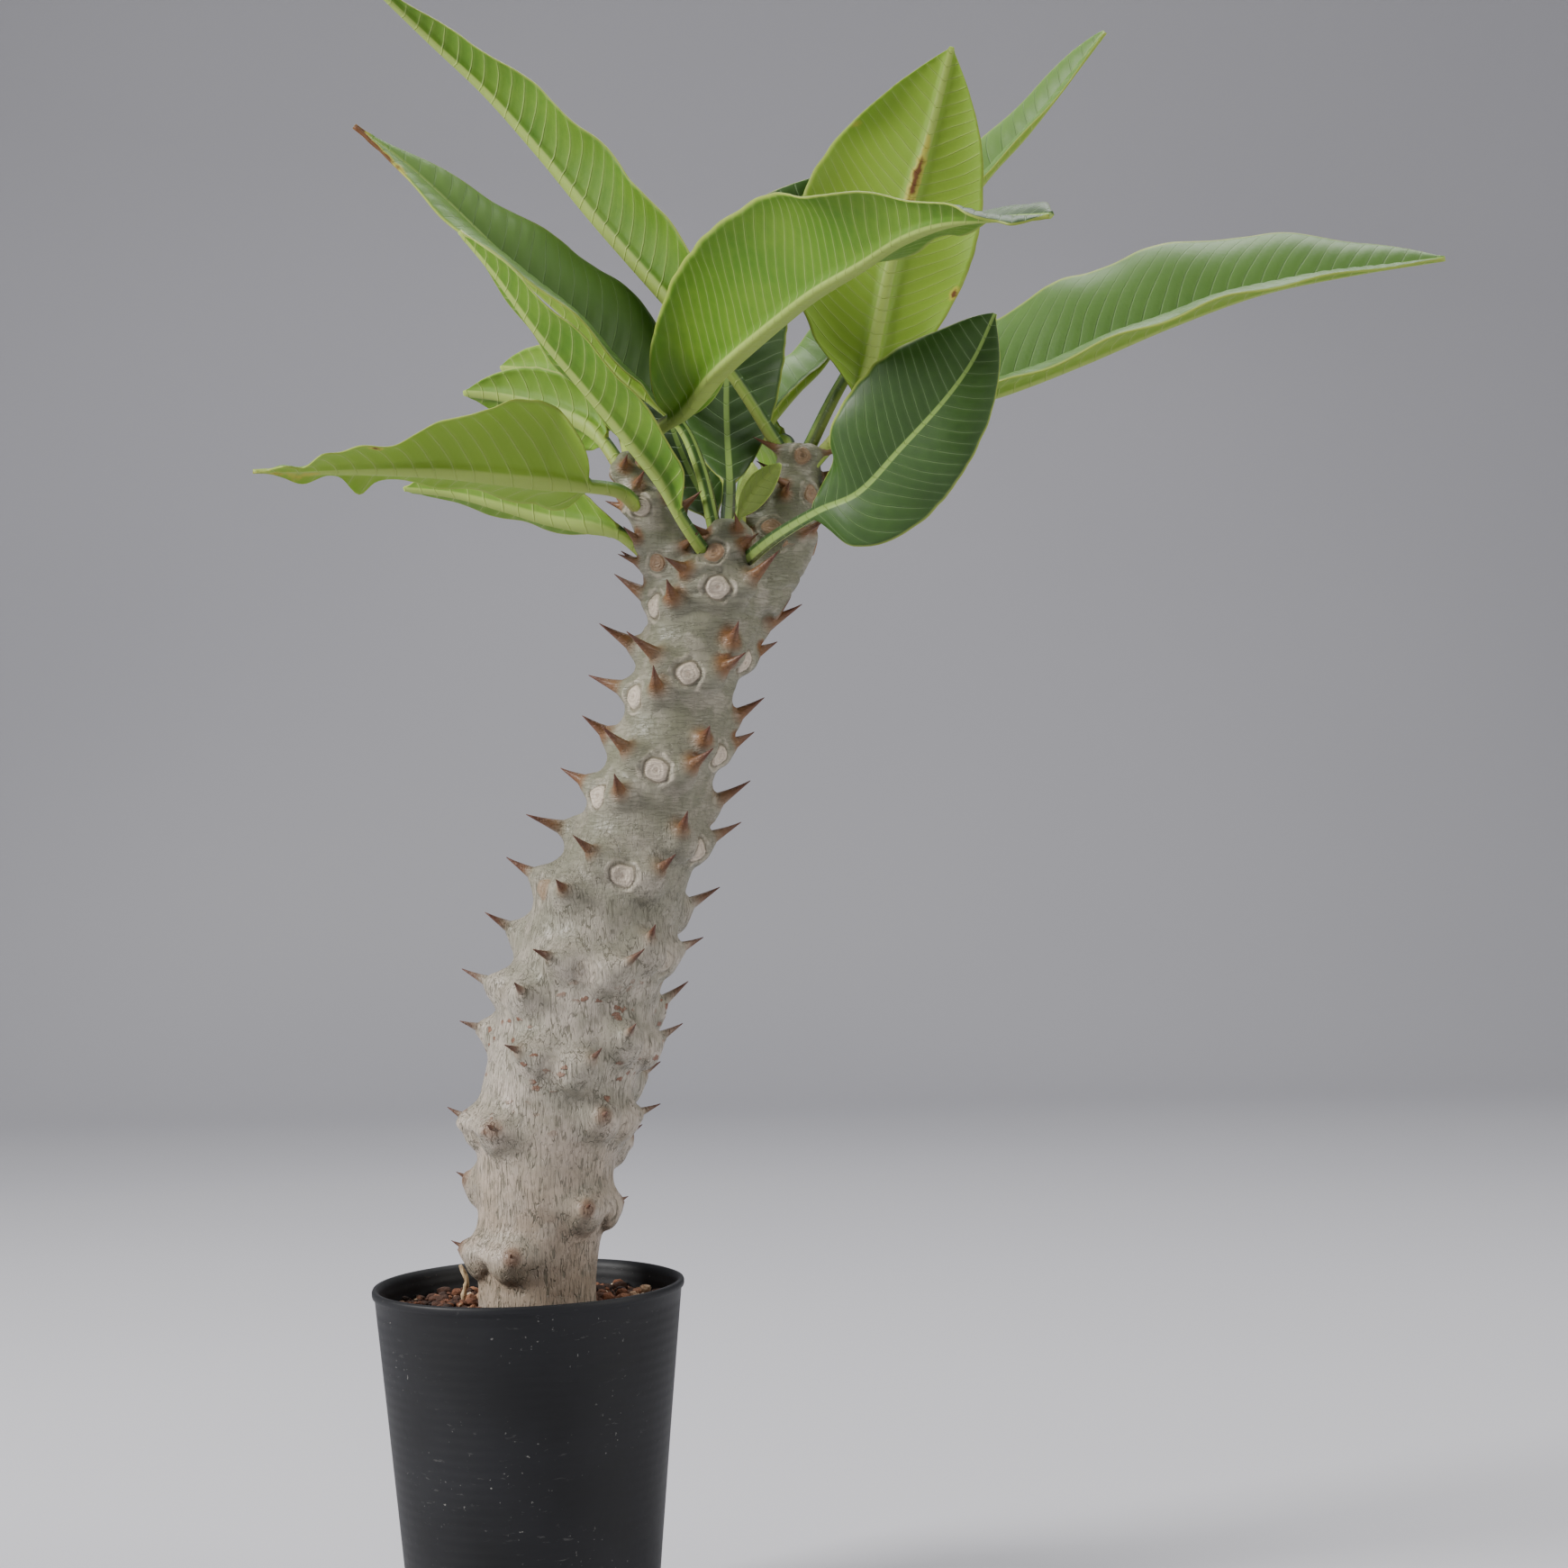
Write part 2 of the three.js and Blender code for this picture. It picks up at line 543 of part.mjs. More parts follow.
// A value set at even steps from base to tip, read at a share of the leaf
function along(values, share) {
  const at = share * (values.length - 1);
  const low = min(floor(at), values.length - 2);
  return THREE.MathUtils.lerp(values[low], values[low + 1], THREE.MathUtils.smoothstep(at - low, 0, 1));
}

// A blade's half-width as a share of its greatest one, zero at both ends
function outline(share, widest, full) {
  const at = (s) => s ** (full * widest) * (1 - s) ** (full * (1 - widest));
  return share <= 0 || share >= 1 ? 0 : at(share) / at(widest);
}

// A closed thin body from one flat grid: place(column, row, under) gives each point of both faces
function sheetGeometry(columns, rows, place) {
  const top = new THREE.PlaneGeometry(1, 1, columns, rows);
  const count = top.attributes.position.count;
  const wide = columns + 1;
  const positions = [];
  for (const under of [false, true])
    for (let i = 0; i < count; i++) positions.push(...place(i % wide, floor(i / wide), under).toArray());
  const index = [...top.index.array];
  const faces = [];
  for (let i = 0; i < index.length; i += 3) {
    const [a, b, c] = index.slice(i, i + 3);
    faces.push(a, c, b, a + count, b + count, c + count);
  }
  const edge = [];
  for (let i = 0; i < columns; i++) edge.push(i);
  for (let i = 0; i < rows; i++) edge.push(i * wide + columns);
  for (let i = columns; i > 0; i--) edge.push(rows * wide + i);
  for (let i = rows; i > 0; i--) edge.push(i * wide);
  edge.forEach((a, i) => {
    const b = edge[(i + 1) % edge.length];
    faces.push(a, b + count, b, a, a + count, b + count);
  });
  const sheet = new THREE.BufferGeometry();
  sheet.setAttribute("position", new THREE.Float32BufferAttribute(positions, 3));
  sheet.setIndex(faces);
  return sheet;
}

function leafGeometry(leaf, number) {
  const [shoot, seatShare, seatAngle] = leaf.seat;
  const seat = shootLimbs[shoot].surface(seatShare, seatAngle, -BLADE.sunk);
  const points = [seat, ...leaf.route.map((point) => new THREE.Vector3(...point))];
  const midrib = new THREE.CatmullRomCurve3(points, false, "centripetal");
  const size = min(1, leaf.width[0] / FULL_WIDTH);
  const [, bladeRows] = BLADE_ROWS.find(([least]) => midrib.getLength() > least);
  const rows = STALK_ROWS + bladeRows;
  const stations = [];
  for (let row = 0; row <= rows; row++) {
    const share = row < STALK_ROWS
      ? (leaf.stalk * row) / STALK_ROWS
      : min(1, leaf.stalk + ((1 - leaf.stalk) * (row - STALK_ROWS)) / bladeRows);
    const blade = (share - leaf.stalk) / (1 - leaf.stalk);
    const tangent = midrib.getTangentAt(share);
    const back = new THREE.Vector3(0, 1, 0);
    back.addScaledVector(tangent, -tangent.y).normalize();
    const square = new THREE.Vector3().crossVectors(back, tangent);
    const roll = radians(along(leaf.roll, share));
    const normal = back.multiplyScalar(cos(roll)).addScaledVector(square, sin(roll));
    const right = new THREE.Vector3().crossVectors(tangent, normal);
    stations.push({ share, blade, normal, right, centre: midrib.getPointAt(share) });
  }
  const place = (column, row, under) => {
    const { share, blade, normal, right, centre } = stations[row];
    const across = ACROSS[column];
    const side = Math.sign(across);
    const hand = side < 0 ? 0 : 1;
    const least = size * THREE.MathUtils.lerp(BLADE.stalkHalf, BLADE.tipHalf, share);
    const half = max(least, leaf.width[hand] * outline(blade, leaf.widest[hand] ?? leaf.widest, leaf.full));
    const ribHalf = min(size * BLADE.ribHalf, 0.4 * half);
    const reach = abs(across) === ON_RIB ? ribHalf : abs(across) * half;
    const spread = half > 2 * least ? (reach / half) ** 2 : 0;
    const opened = min(1, max(0, blade * BLADE.opening));
    const slope = radians(along(leaf.fold, share) * opened - BLADE.curl * spread);
    const phase = leaf.waves * max(blade, 0) + scatter(number + side);
    const ripple = leaf.wave * spread * sin(2 * PI * phase) * sin(PI * max(blade, 0));
    const point = centre.clone();
    point.addScaledVector(right, side * reach * cos(slope));
    point.addScaledVector(normal, reach * sin(slope) + ripple);
    if (!under) return point;
    const rib = size * THREE.MathUtils.lerp(BLADE.ribStalk, BLADE.ribTip, share);
    const swell = Math.sqrt(max(0, 1 - (reach / (size * BLADE.swell)) ** 2));
    const depth = max(BLADE.thick, rib * swell);
    point.addScaledVector(normal, -depth * cos(slope));
    return point.addScaledVector(right, side * depth * sin(slope));
  };
  return sheetGeometry(ACROSS.length - 1, rows, place);
}

// A blade ends square to the shoot that carries it, clear of its bark and spines
function seatedLeaf(leaf, number, clearance) {
  return toGeometry(largest(toSolid(leafGeometry(leaf, number)).subtract(clearance)));
}

const plant = new THREE.Group();
const clearance = stemSolid(GAP);
plant.add(named("pot", potGeometry(), COLOURS.pot, ROUGHNESS.pot));
plant.add(named("soil", soilGeometry(), COLOURS.soil, ROUGHNESS.soil));
plant.add(named("dry_root", dryRootGeometry(), COLOURS.dryRoot, ROUGHNESS.stem));
plant.add(named("stem", toGeometry(stemSolid(0)), COLOURS.stem, ROUGHNESS.stem));
LEAVES.forEach((leaf, number) => {
  const facesBack = cos(radians(leaf.roll[1])) > 0;
  const colour = facesBack ? COLOURS.leafLight : COLOURS.leafDark;
  plant.add(named(leaf.name, seatedLeaf(leaf, number, clearance), colour, ROUGHNESS.leaf));
});

export default plant;
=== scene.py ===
"""A potted Pachypodium baronii: pot, gritty soil, dry root, spiny forked stem and veined leaves.

Sizes are in millimetres, as in the model that the frame holds, and meshes are made in metres.
"""

import logging
import math
import random
from bisect import bisect_left
from collections.abc import Iterable, Iterator, Sequence
from dataclasses import dataclass, field
from enum import Enum
from typing import ClassVar, TypeAlias

import bmesh
import bpy
from mathutils import Matrix, Vector, noise
from mathutils.kdtree import KDTree

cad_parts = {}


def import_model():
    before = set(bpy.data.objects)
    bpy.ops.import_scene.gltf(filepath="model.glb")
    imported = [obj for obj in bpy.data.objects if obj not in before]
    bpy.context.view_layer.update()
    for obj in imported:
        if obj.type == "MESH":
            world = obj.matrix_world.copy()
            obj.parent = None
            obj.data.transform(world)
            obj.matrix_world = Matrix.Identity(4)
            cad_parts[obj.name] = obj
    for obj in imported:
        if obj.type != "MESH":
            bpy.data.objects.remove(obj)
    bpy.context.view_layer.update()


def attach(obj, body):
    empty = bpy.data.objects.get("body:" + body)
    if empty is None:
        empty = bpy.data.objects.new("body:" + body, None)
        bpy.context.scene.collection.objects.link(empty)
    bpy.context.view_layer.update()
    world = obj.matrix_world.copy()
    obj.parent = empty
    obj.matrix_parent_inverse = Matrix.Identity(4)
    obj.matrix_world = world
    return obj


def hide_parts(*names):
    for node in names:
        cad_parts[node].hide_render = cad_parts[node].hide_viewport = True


LOG = logging.getLogger("pachypodium")
MM = 0.001
BODY = "root"
UP = Vector((0, 0, 1))
FRONT = Vector((0, -1, 0))
BACK = Vector((0, 1, 0))

Colour: TypeAlias = tuple[float, float, float]
Value: TypeAlias = "float | Wire"
Table: TypeAlias = Sequence[Sequence[float]]
Frame: TypeAlias = tuple[float, Vector, Vector, Vector]


class Slot(Enum):
    """The material slots."""

    POT = "pot_plastic"
    SOIL = "gritty_soil"
    DRY = "dry_wood"
    BARK = "bark"
    LEAF = "leaf"
    YOUNG = "young_leaf"


class Shoot(Enum):
    """The three shoots above the fork."""

    LEFT = "left"
    RIGHT = "right"
    MIDDLE = "middle"


# Numbers


def scatter(number: float) -> float:
    """Returns a repeatable value from 0 to 1 for a number."""
    value = math.sin(number * 12.9898) * 43758.5453
    return value - math.floor(value)


def lerp(low: float, high: float, share: float) -> float:
    """Returns the value at a share of the way from low to high."""
    return low + (high - low) * share


def clamp(value: float, low: float = 0.0, high: float = 1.0) -> float:
    """Returns the value held between low and high."""
    return min(max(value, low), high)


def smoothstep(low: float, high: float, value: float) -> float:
    """Returns 0 below low, 1 above high and an S-curve between them."""
    share = clamp((value - low) / (high - low))
    return share * share * (3 - 2 * share)


def bell(offset: float, width: float, power: float = 2) -> float:
    """Returns 1 for no offset, less within about a width and next to 0 beyond."""
    return math.exp(-((offset / width) ** power))


def stepped(values: Sequence[float], share: float, is_eased: bool = True) -> float:
    """Reads values that stand at even steps.

    Args:
        values: The values from start to end.
        share: Where to read, from 0 to 1.
        is_eased: Whether the way between two neighbours is an S-curve or straight.

    Returns:
        The value there.
    """
    at = clamp(share) * (len(values) - 1)
    low = min(int(at), len(values) - 2)
    part = smoothstep(0, 1, at - low) if is_eased else at - low
    return lerp(values[low], values[low + 1], part)


def wander(point: Vector, size: float, seed: float = 0.0) -> float:
    """Returns smooth noise from -1 to 1 whose lumps are about size metres wide."""
    return noise.noise(point / size + Vector((seed, 2 * seed, 3 * seed)))


def linear(red: int, green: int, blue: int) -> Colour:
    """Returns a screen colour of 0 to 255 a channel as a linear one."""
    shares = (channel / 255 for channel in (red, green, blue))
    return tuple(s / 12.92 if s <= 0.04045 else ((s + 0.055) / 1.055) ** 2.4 for s in shares)


# Curves


class Route:
    """A smooth curve through points, read by its parameter or by its length."""

    SAMPLES = 240

    def __init__(self, points: Iterable[Sequence[float]]) -> None:
        """Takes the points and measures the curve through them."""
        self.points = [Vector(point) for point in points]
        self.lengths = [0.0]
        last = self.point(0)
        for step in range(1, self.SAMPLES + 1):
            here = self.point(step / self.SAMPLES)
            self.lengths.append(self.lengths[-1] + (here - last).length)
            last = here

    @property
    def length(self) -> float:
        """The length of the whole curve."""
        return self.lengths[-1]

    def point(self, share: float) -> Vector:
        """Reads the curve at a share of its parameter.

        Args:
            share: From 0 at the first point to 1 at the last.

        Returns:
            The point on a centripetal spline through the points.
        """
        last = len(self.points) - 1
        at = clamp(share) * last
        index = min(int(at), last - 1)
        t = at - index
        start, end = self.points[index], self.points[index + 1]
        before = self.points[index - 1] if index else 2 * start - end
        after = self.points[index + 2] if index + 2 <= last else 2 * end - start
        pairs = ((before, start), (start, end), (end, after))
        d0, d1, d2 = (math.sqrt(max((b - a).length, 1e-6)) for a, b in pairs)
        leave = ((start - before) / d0 - (end - before) / (d0 + d1) + (end - start) / d1) * d1
        arrive = ((end - start) / d1 - (after - start) / (d1 + d2) + (after - end) / d2) * d1
        square = 3 * (end - start) - 2 * leave - arrive
        cube = 2 * (start - end) + leave + arrive
        return start + leave * t + square * t**2 + cube * t**3

    def tangent(self, share: float) -> Vector:
        """Returns the direction of the curve at a share of its parameter."""
        return (self.point(share + 1e-4) - self.point(share - 1e-4)).normalized()

    def by_length(self, part: float) -> float:
        """Returns the share of the parameter at a part of the length."""
        wanted = clamp(part) * self.length
        high = max(1, min(bisect_left(self.lengths, wanted), self.SAMPLES))
        low = high - 1
        gap = max(self.lengths[high] - self.lengths[low], 1e-9)
        return (low + (wanted - self.lengths[low]) / gap) / self.SAMPLES


@dataclass
class Limb:
    """A woody axis with a radius at even steps along it."""

    route: Route
    radii: Sequence[float]

    def radius(self, share: float) -> float:
        """Returns the radius at a share of the axis."""
        return stepped(self.radii, share, is_eased=False)

    def outward(self, share: float, degrees: float) -> Vector:
        """Finds the way out from the axis.

        Args:
            share: The share of the axis.
            degrees: The angle from the front, towards +X.

        Returns:
            A unit vector square to the axis.
        """
        tangent = self.route.tangent(share)
        front = (FRONT - tangent * FRONT.dot(tangent)).normalized()
        side = tangent.cross(front)
        angle = math.radians(degrees)
        return front * math.cos(angle) + side * math.sin(angle)

    def surface(self, share: float, degrees: float, lift: float = 0.0) -> Vector:
        """Returns the point over the bark at a share and an angle."""
        return self.route.point(share) + self.outward(share, degrees) * (self.radius(share) + lift)

    def rings(self, sides: int, rows: int) -> list[list[Vector]]:
        """Returns the rings of a tube round the axis, in millimetres."""
        turns = [360 * side / sides for side in range(sides)]
        shares = [row / rows for row in range(rows + 1)]
        return [[self.surface(share, turn) for turn in turns] for share in shares]


# Meshes


def added(name: str, data: bpy.types.ID) -> bpy.types.Object:
    """Returns a new object of the scene, made of data."""
    made = bpy.data.objects.new(name, data)
    bpy.context.scene.collection.objects.link(made)
    return made


def mesh_data(mesh: bmesh.types.BMesh, name: str, is_smooth: bool = True) -> bpy.types.Mesh:
    """Returns the data of a mesh, smooth or flat, and frees the mesh."""
    for face in mesh.faces:
        face.smooth = is_smooth
    data = bpy.data.meshes.new(name)
    mesh.to_mesh(data)
    mesh.free()
    return data


def smooth_out(mesh: bmesh.types.BMesh, times: int) -> None:
    """Moves the vertices of a mesh halfway to their neighbours' middle, a number of times."""
    axes = {"use_axis_x": True, "use_axis_y": True, "use_axis_z": True}
    for _ in range(times):
        bmesh.ops.smooth_vert(mesh, verts=mesh.verts, factor=0.5, **axes)


def loft(rings: Sequence[Sequence[Vector]]) -> bmesh.types.BMesh:
    """Extrudes a first ring through the others and closes both ends.

    Args:
        rings: The rings, in millimetres, with as many points each.

    Returns:
        The closed body, with the number of its ring on each vertex.
    """
    mesh = bmesh.new()
    slot = mesh.verts.layers.int.new("slot")
    level = mesh.verts.layers.int.new("ring")
    ring = bmesh.ops.create_circle(mesh, cap_ends=True, radius=1, segments=len(rings[0]))["verts"]
    for index, vert in enumerate(ring):
        vert[slot] = index
        vert.co = rings[0][index] * MM
    edges = list(mesh.edges)
    for number, points in enumerate(rings[1:], 1):
        grown = bmesh.ops.extrude_edge_only(mesh, edges=edges)["geom"]
        fresh = {item for item in grown if isinstance(item, bmesh.types.BMVert)}
        for vert in fresh:
            vert[level] = number
            vert.co = points[vert[slot]] * MM
        edges = [e for e in grown if isinstance(e, bmesh.types.BMEdge) and fresh.issuperset(e.verts)]
    bmesh.ops.contextual_create(mesh, geom=edges)
    bmesh.ops.recalc_face_normals(mesh, faces=mesh.faces)
    return mesh


def joined(bodies: Iterable[bmesh.types.BMesh]) -> bmesh.types.BMesh:
    """Puts bodies into one mesh and frees them."""
    whole = bmesh.new()
    data = bpy.data.meshes.new("body")
    for body in bodies:
        body.to_mesh(data)
        body.free()
        whole.from_mesh(data)
    bpy.data.meshes.remove(data)
    return whole


def spun(profile: Sequence[tuple[float, float]], steps: int) -> bmesh.types.BMesh:
    """Turns a profile about the upright axis.

    Args:
        profile: Pairs of radius and height in millimetres, from axis to axis.
        steps: The faces round it.

    Returns:
        A closed mesh that faces outwards.
    """
    mesh = bmesh.new()
    verts = [mesh.verts.new((radius * MM, 0, height * MM)) for radius, height in profile]
    edges = [mesh.edges.new(pair) for pair in zip(verts, verts[1:])]
    bmesh.ops.spin(
        mesh, geom=verts + edges, axis=UP, cent=(0, 0, 0), angle=2 * math.pi, steps=steps, use_merge=True
    )
    bmesh.ops.remove_doubles(mesh, verts=mesh.verts, dist=1e-6)
    bmesh.ops.recalc_face_normals(mesh, faces=mesh.faces)
    return mesh


def remeshed(mesh: bmesh.types.BMesh, cell: float) -> bmesh.types.BMesh:
    """Joins overlapping bodies into one even skin.

    Args:
        mesh: Closed bodies that overlap. It is freed.
        cell: The size of a cell of the new skin, in millimetres.

    Returns:
        The joined mesh.
    """
    data = mesh_data(mesh, "draft")
    draft = added("draft", data)
    modifier = draft.modifiers.new("skin", "REMESH")
    modifier.mode, modifier.voxel_size = "VOXEL", cell * MM
    graph = bpy.context.evaluated_depsgraph_get()
    skin = bmesh.new()
    skin.from_mesh(draft.evaluated_get(graph).to_mesh())
    bpy.data.objects.remove(draft)
    bpy.data.meshes.remove(data)
    return skin


def placed(
    mesh: bmesh.types.BMesh,
    name: str,
    node: str,
    slot: Slot,
    finish: bpy.types.Material,
    is_smooth: bool = True,
) -> bpy.types.Object:
    """Makes a mesh a piece of the plant that stands for a node.

    Args:
        mesh: The finished mesh, in metres and in place. It is freed.
        name: The piece's name.
        node: The node that it stands for.
        slot: The slot for its finish; not used.
        finish: Its material.
        is_smooth: Whether its faces are shaded smooth.

    Returns:
        The new object.
    """
    data = mesh_data(mesh, name, is_smooth)
    data.materials.append(finish)
    piece = added(name, data)
    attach(piece, BODY)
    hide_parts(node)
    LOG.info("%s stands for %s: %d faces", name, node, len(data.polygons))
    return piece


# Shaders


class Wire:
    """A shader socket that takes part in arithmetic."""

    def __init__(self, shader: "Shader", socket: bpy.types.NodeSocket) -> None:
        """Wraps an output socket of a shader's node."""
        self.shader = shader
        self.socket = socket

    def _math(self, operation: str, *values: Value) -> "Wire":
        """Adds one Math node for an operation on values."""
        return self.shader.node("ShaderNodeMath", {"operation": operation}, dict(enumerate(values)))

    def __add__(self, other: Value) -> "Wire":
        """Returns self + other."""
        return self._math("ADD", self, other)

    def __sub__(self, other: Value) -> "Wire":
        """Returns self - other."""
        return self._math("SUBTRACT", self, other)

    def __rsub__(self, other: Value) -> "Wire":
        """Returns other - self."""
        return self._math("SUBTRACT", other, self)

    def __mul__(self, other: Value) -> "Wire":
        """Returns self * other."""
        return self._math("MULTIPLY", self, other)

    def __abs__(self) -> "Wire":
        """Returns the size of self."""
        return self._math("ABSOLUTE", self)

    __radd__ = __add__
    __rmul__ = __mul__

    def other(self, name: str) -> "Wire":
        """Returns another output of the same node."""
        return Wire(self.shader, self.socket.node.outputs[name])

    def sine(self) -> "Wire":
        """Returns the sine of self."""
        return self._math("SINE", self)

    def fraction(self) -> "Wire":
        """Returns what is left of self over a whole number."""
        return self._math("FRACT", self)

    def held(self) -> "Wire":
        """Returns self held between 0 and 1."""
        wire = self._math("ADD", self, 0.0)
        wire.socket.node.use_clamp = True
        return wire


def socket(sockets: Sequence[bpy.types.NodeSocket], key: int | str) -> bpy.types.NodeSocket:
    """Returns the socket that a number, a name or an identifier gives."""
    if isinstance(key, int):
        return sockets[key]
    return next(found for found in sockets if key in (found.identifier, found.name))


class Shader:
    """A material whose nodes are written as expressions."""

    def __init__(self, name: str) -> None:
        """Makes a material with its one surface node."""
        self.material = bpy.data.materials.new(name)
        self.material.use_nodes = True
        self.tree = self.material.node_tree
        self.surface = next(n for n in self.tree.nodes if n.type == "BSDF_PRINCIPLED")

    def set(self, sockets: bpy.types.NodeInputs, key: int | str, value: object) -> None:
        """Links a wire to the socket that a key gives, or sets its value."""
        found = socket(sockets, key)
        if isinstance(value, Wire):
            self.tree.links.new(value.socket, found)
            return
        is_colour = isinstance(value, tuple) and found.type == "RGBA"
        found.default_value = (*value, 1.0) if is_colour else value

    def node(
        self, kind: str, settings: dict[str, object], inputs: dict[int | str, object], output: int | str = 0
    ) -> Wire:
        """Adds a node.

        Args:
            kind: The node's type.
            settings: Its properties, with stops for the stops of a ramp.
            inputs: The values or wires of its sockets.
            output: The socket that is read.

        Returns:
            The wire from that output.
        """
        made = self.tree.nodes.new(kind)
        for key, value in settings.items():
            if key == "stops":
                elements = made.color_ramp.elements
                while len(elements) < len(value):
                    elements.new(1.0)
                for element, (place, colour) in zip(elements, value):
                    element.position, element.color = place, (*colour, 1.0)
            else:
                setattr(made, key, value)
        for key, value in inputs.items():
            self.set(made.inputs, key, value)
        return Wire(self, socket(made.outputs, output))

    def place(self, scale: Colour = (1, 1, 1)) -> Wire:
        """Returns object coordinates in metres times a scale a side."""
        at = self.node("ShaderNodeTexCoord", {}, {}, "Object")
        return self.node("ShaderNodeMapping", {}, {"Vector": at, "Scale": scale})

    def height(self) -> Wire:
        """Returns the height over the ground in millimetres."""
        return self.node("ShaderNodeSeparateXYZ", {}, {0: self.place()}, "Z") * (1 / MM)

    def read(self, name: str) -> Wire:
        """Returns a piece's own attribute."""
        return self.node("ShaderNodeAttribute", {"attribute_name": name}, {}, "Fac")

    def noise(self, scale: float, detail: float = 3, at: Wire | None = None, rough: float = 0.5) -> Wire:
        """Returns noise from about 0.2 to 0.8 with scale lumps a metre."""
        inputs = {"Vector": at or self.place(), "Scale": scale, "Detail": detail, "Roughness": rough}
        return self.node("ShaderNodeTexNoise", {}, inputs)

    def warped(self, scale: Colour, amount: float, lumps: float) -> Wire:
        """Returns object coordinates that noise has pushed about.

        Args:
            scale: The stretch of each axis.
            amount: How far they are pushed, in millimetres before the stretch.
            lumps: How many lumps of noise there are in a metre.

        Returns:
            The coordinates, in metres times the stretch.
        """
        push = self.noise(lumps, 2).other("Color")
        reach = tuple(2 * amount * MM * side for side in scale)
        inputs = {0: push, 1: reach, 2: self.place(scale)}
        return self.node("ShaderNodeVectorMath", {"operation": "MULTIPLY_ADD"}, inputs)

    def cells(self, scale: float, at: Wire) -> Wire:
        """Returns the distance from the middles of cells, scale of them a metre."""
        return self.node("ShaderNodeTexVoronoi", {}, {"Vector": at, "Scale": scale}, "Distance")

    def mix(self, first: object, second: object, factor: Value) -> Wire:
        """Returns the colour a factor of the way from first to second."""
        inputs = {"Factor_Float": factor, "A_Color": first, "B_Color": second}
        return self.node("ShaderNodeMix", {"data_type": "RGBA"}, inputs, "Result_Color")

    def layered(self, colour: object, *layers: tuple[object, Value]) -> Wire:
        """Returns a colour with others laid over it in turn, each by its factor."""
        for tint, factor in layers:
            colour = self.mix(colour, tint, factor)
        return colour

    def step(self, value: Wire, low: float, high: float) -> Wire:
        """Returns an S-curve from 0 at low to 1 at high."""
        inputs = {"Value": value, "From Min": low, "From Max": high}
        return self.node("ShaderNodeMapRange", {"interpolation_type": "SMOOTHSTEP"}, inputs)

    def fall(self, value: Wire, low: float, high: float) -> Wire:
        """Returns an S-curve from 1 at low to 0 at high."""
        return 1 - self.step(value, low, high)

    def lines(self, scale: Colour, low: float, high: float, detail: float = 2, rough: float = 0.5) -> Wire:
        """Returns 1 along the middle contour lines of stretched noise and 0 away from them."""
        return self.fall(abs(self.noise(1, detail, self.place(scale), rough) - 0.5), low, high)

    def ramp(self, value: Wire, stops: Sequence[tuple[float, Colour]]) -> Wire:
        """Returns the colour that a ramp gives for a value."""
        return self.node("ShaderNodeValToRGB", {"stops": stops}, {0: value})

    def bump(self, height: Wire, depth: float, strength: float = 1.0) -> Wire:
        """Returns a normal for a relief of a depth in millimetres."""
        inputs = {"Height": height, "Distance": depth * MM, "Strength": strength}
        return self.node("ShaderNodeBump", {}, inputs)

    def finish(self, inputs: dict[str, object]) -> bpy.types.Material:
        """Sets the surface's sockets and returns the material."""
        for key, value in inputs.items():
            self.set(self.surface.inputs, key, value)
        return self.material


# Pot


@dataclass(frozen=True)
class PotPlastic:
    """Soft black plastic with dust, scuffs and faint moulding rings."""

    black: Colour = linear(14, 15, 18)
    grey: Colour = linear(24, 25, 29)
    dust: Colour = linear(150, 148, 144)
    # Heights of a paler grey band round the top of the wall and the lip.
    pale_rim_band: tuple[float, float] = (87.2, 89.6)

    def material(self) -> bpy.types.Material:
        """Builds the plastic's material."""
        shader = Shader("pot plastic")
        cloud = shader.noise(38, 4)
        scuffs = shader.step(shader.noise(1, 5, shader.place((240, 240, 900)), 0.62), 0.62, 0.72)
        specks = shader.step(shader.noise(900, 2), 0.7, 0.76) * shader.step(cloud, 0.42, 0.62)
        height = shader.height()
        colour = shader.layered(
            self.black,
            (self.grey, shader.step(cloud, 0.35, 0.7)),
            (self.dust, scuffs * shader.step(cloud, 0.45, 0.6) * 0.16),
            (self.dust, specks * 0.65),
            # A paler grey band round the rim.
            (self.grey, shader.step(height, *self.pale_rim_band) * 0.7),
        )
        ripples = (height * 2.4 + cloud * 3.0).sine() * 0.25
        relief = ripples + shader.noise(420, 3) * 0.5 + scuffs * 0.3
        return shader.finish(
            {
                "Base Color": colour,
                "Roughness": 0.46 + 0.16 * cloud + 0.2 * specks,
                "Specular IOR Level": 0.36,
                "Normal": shader.bump(relief, 0.22, 0.5),
            }
        )


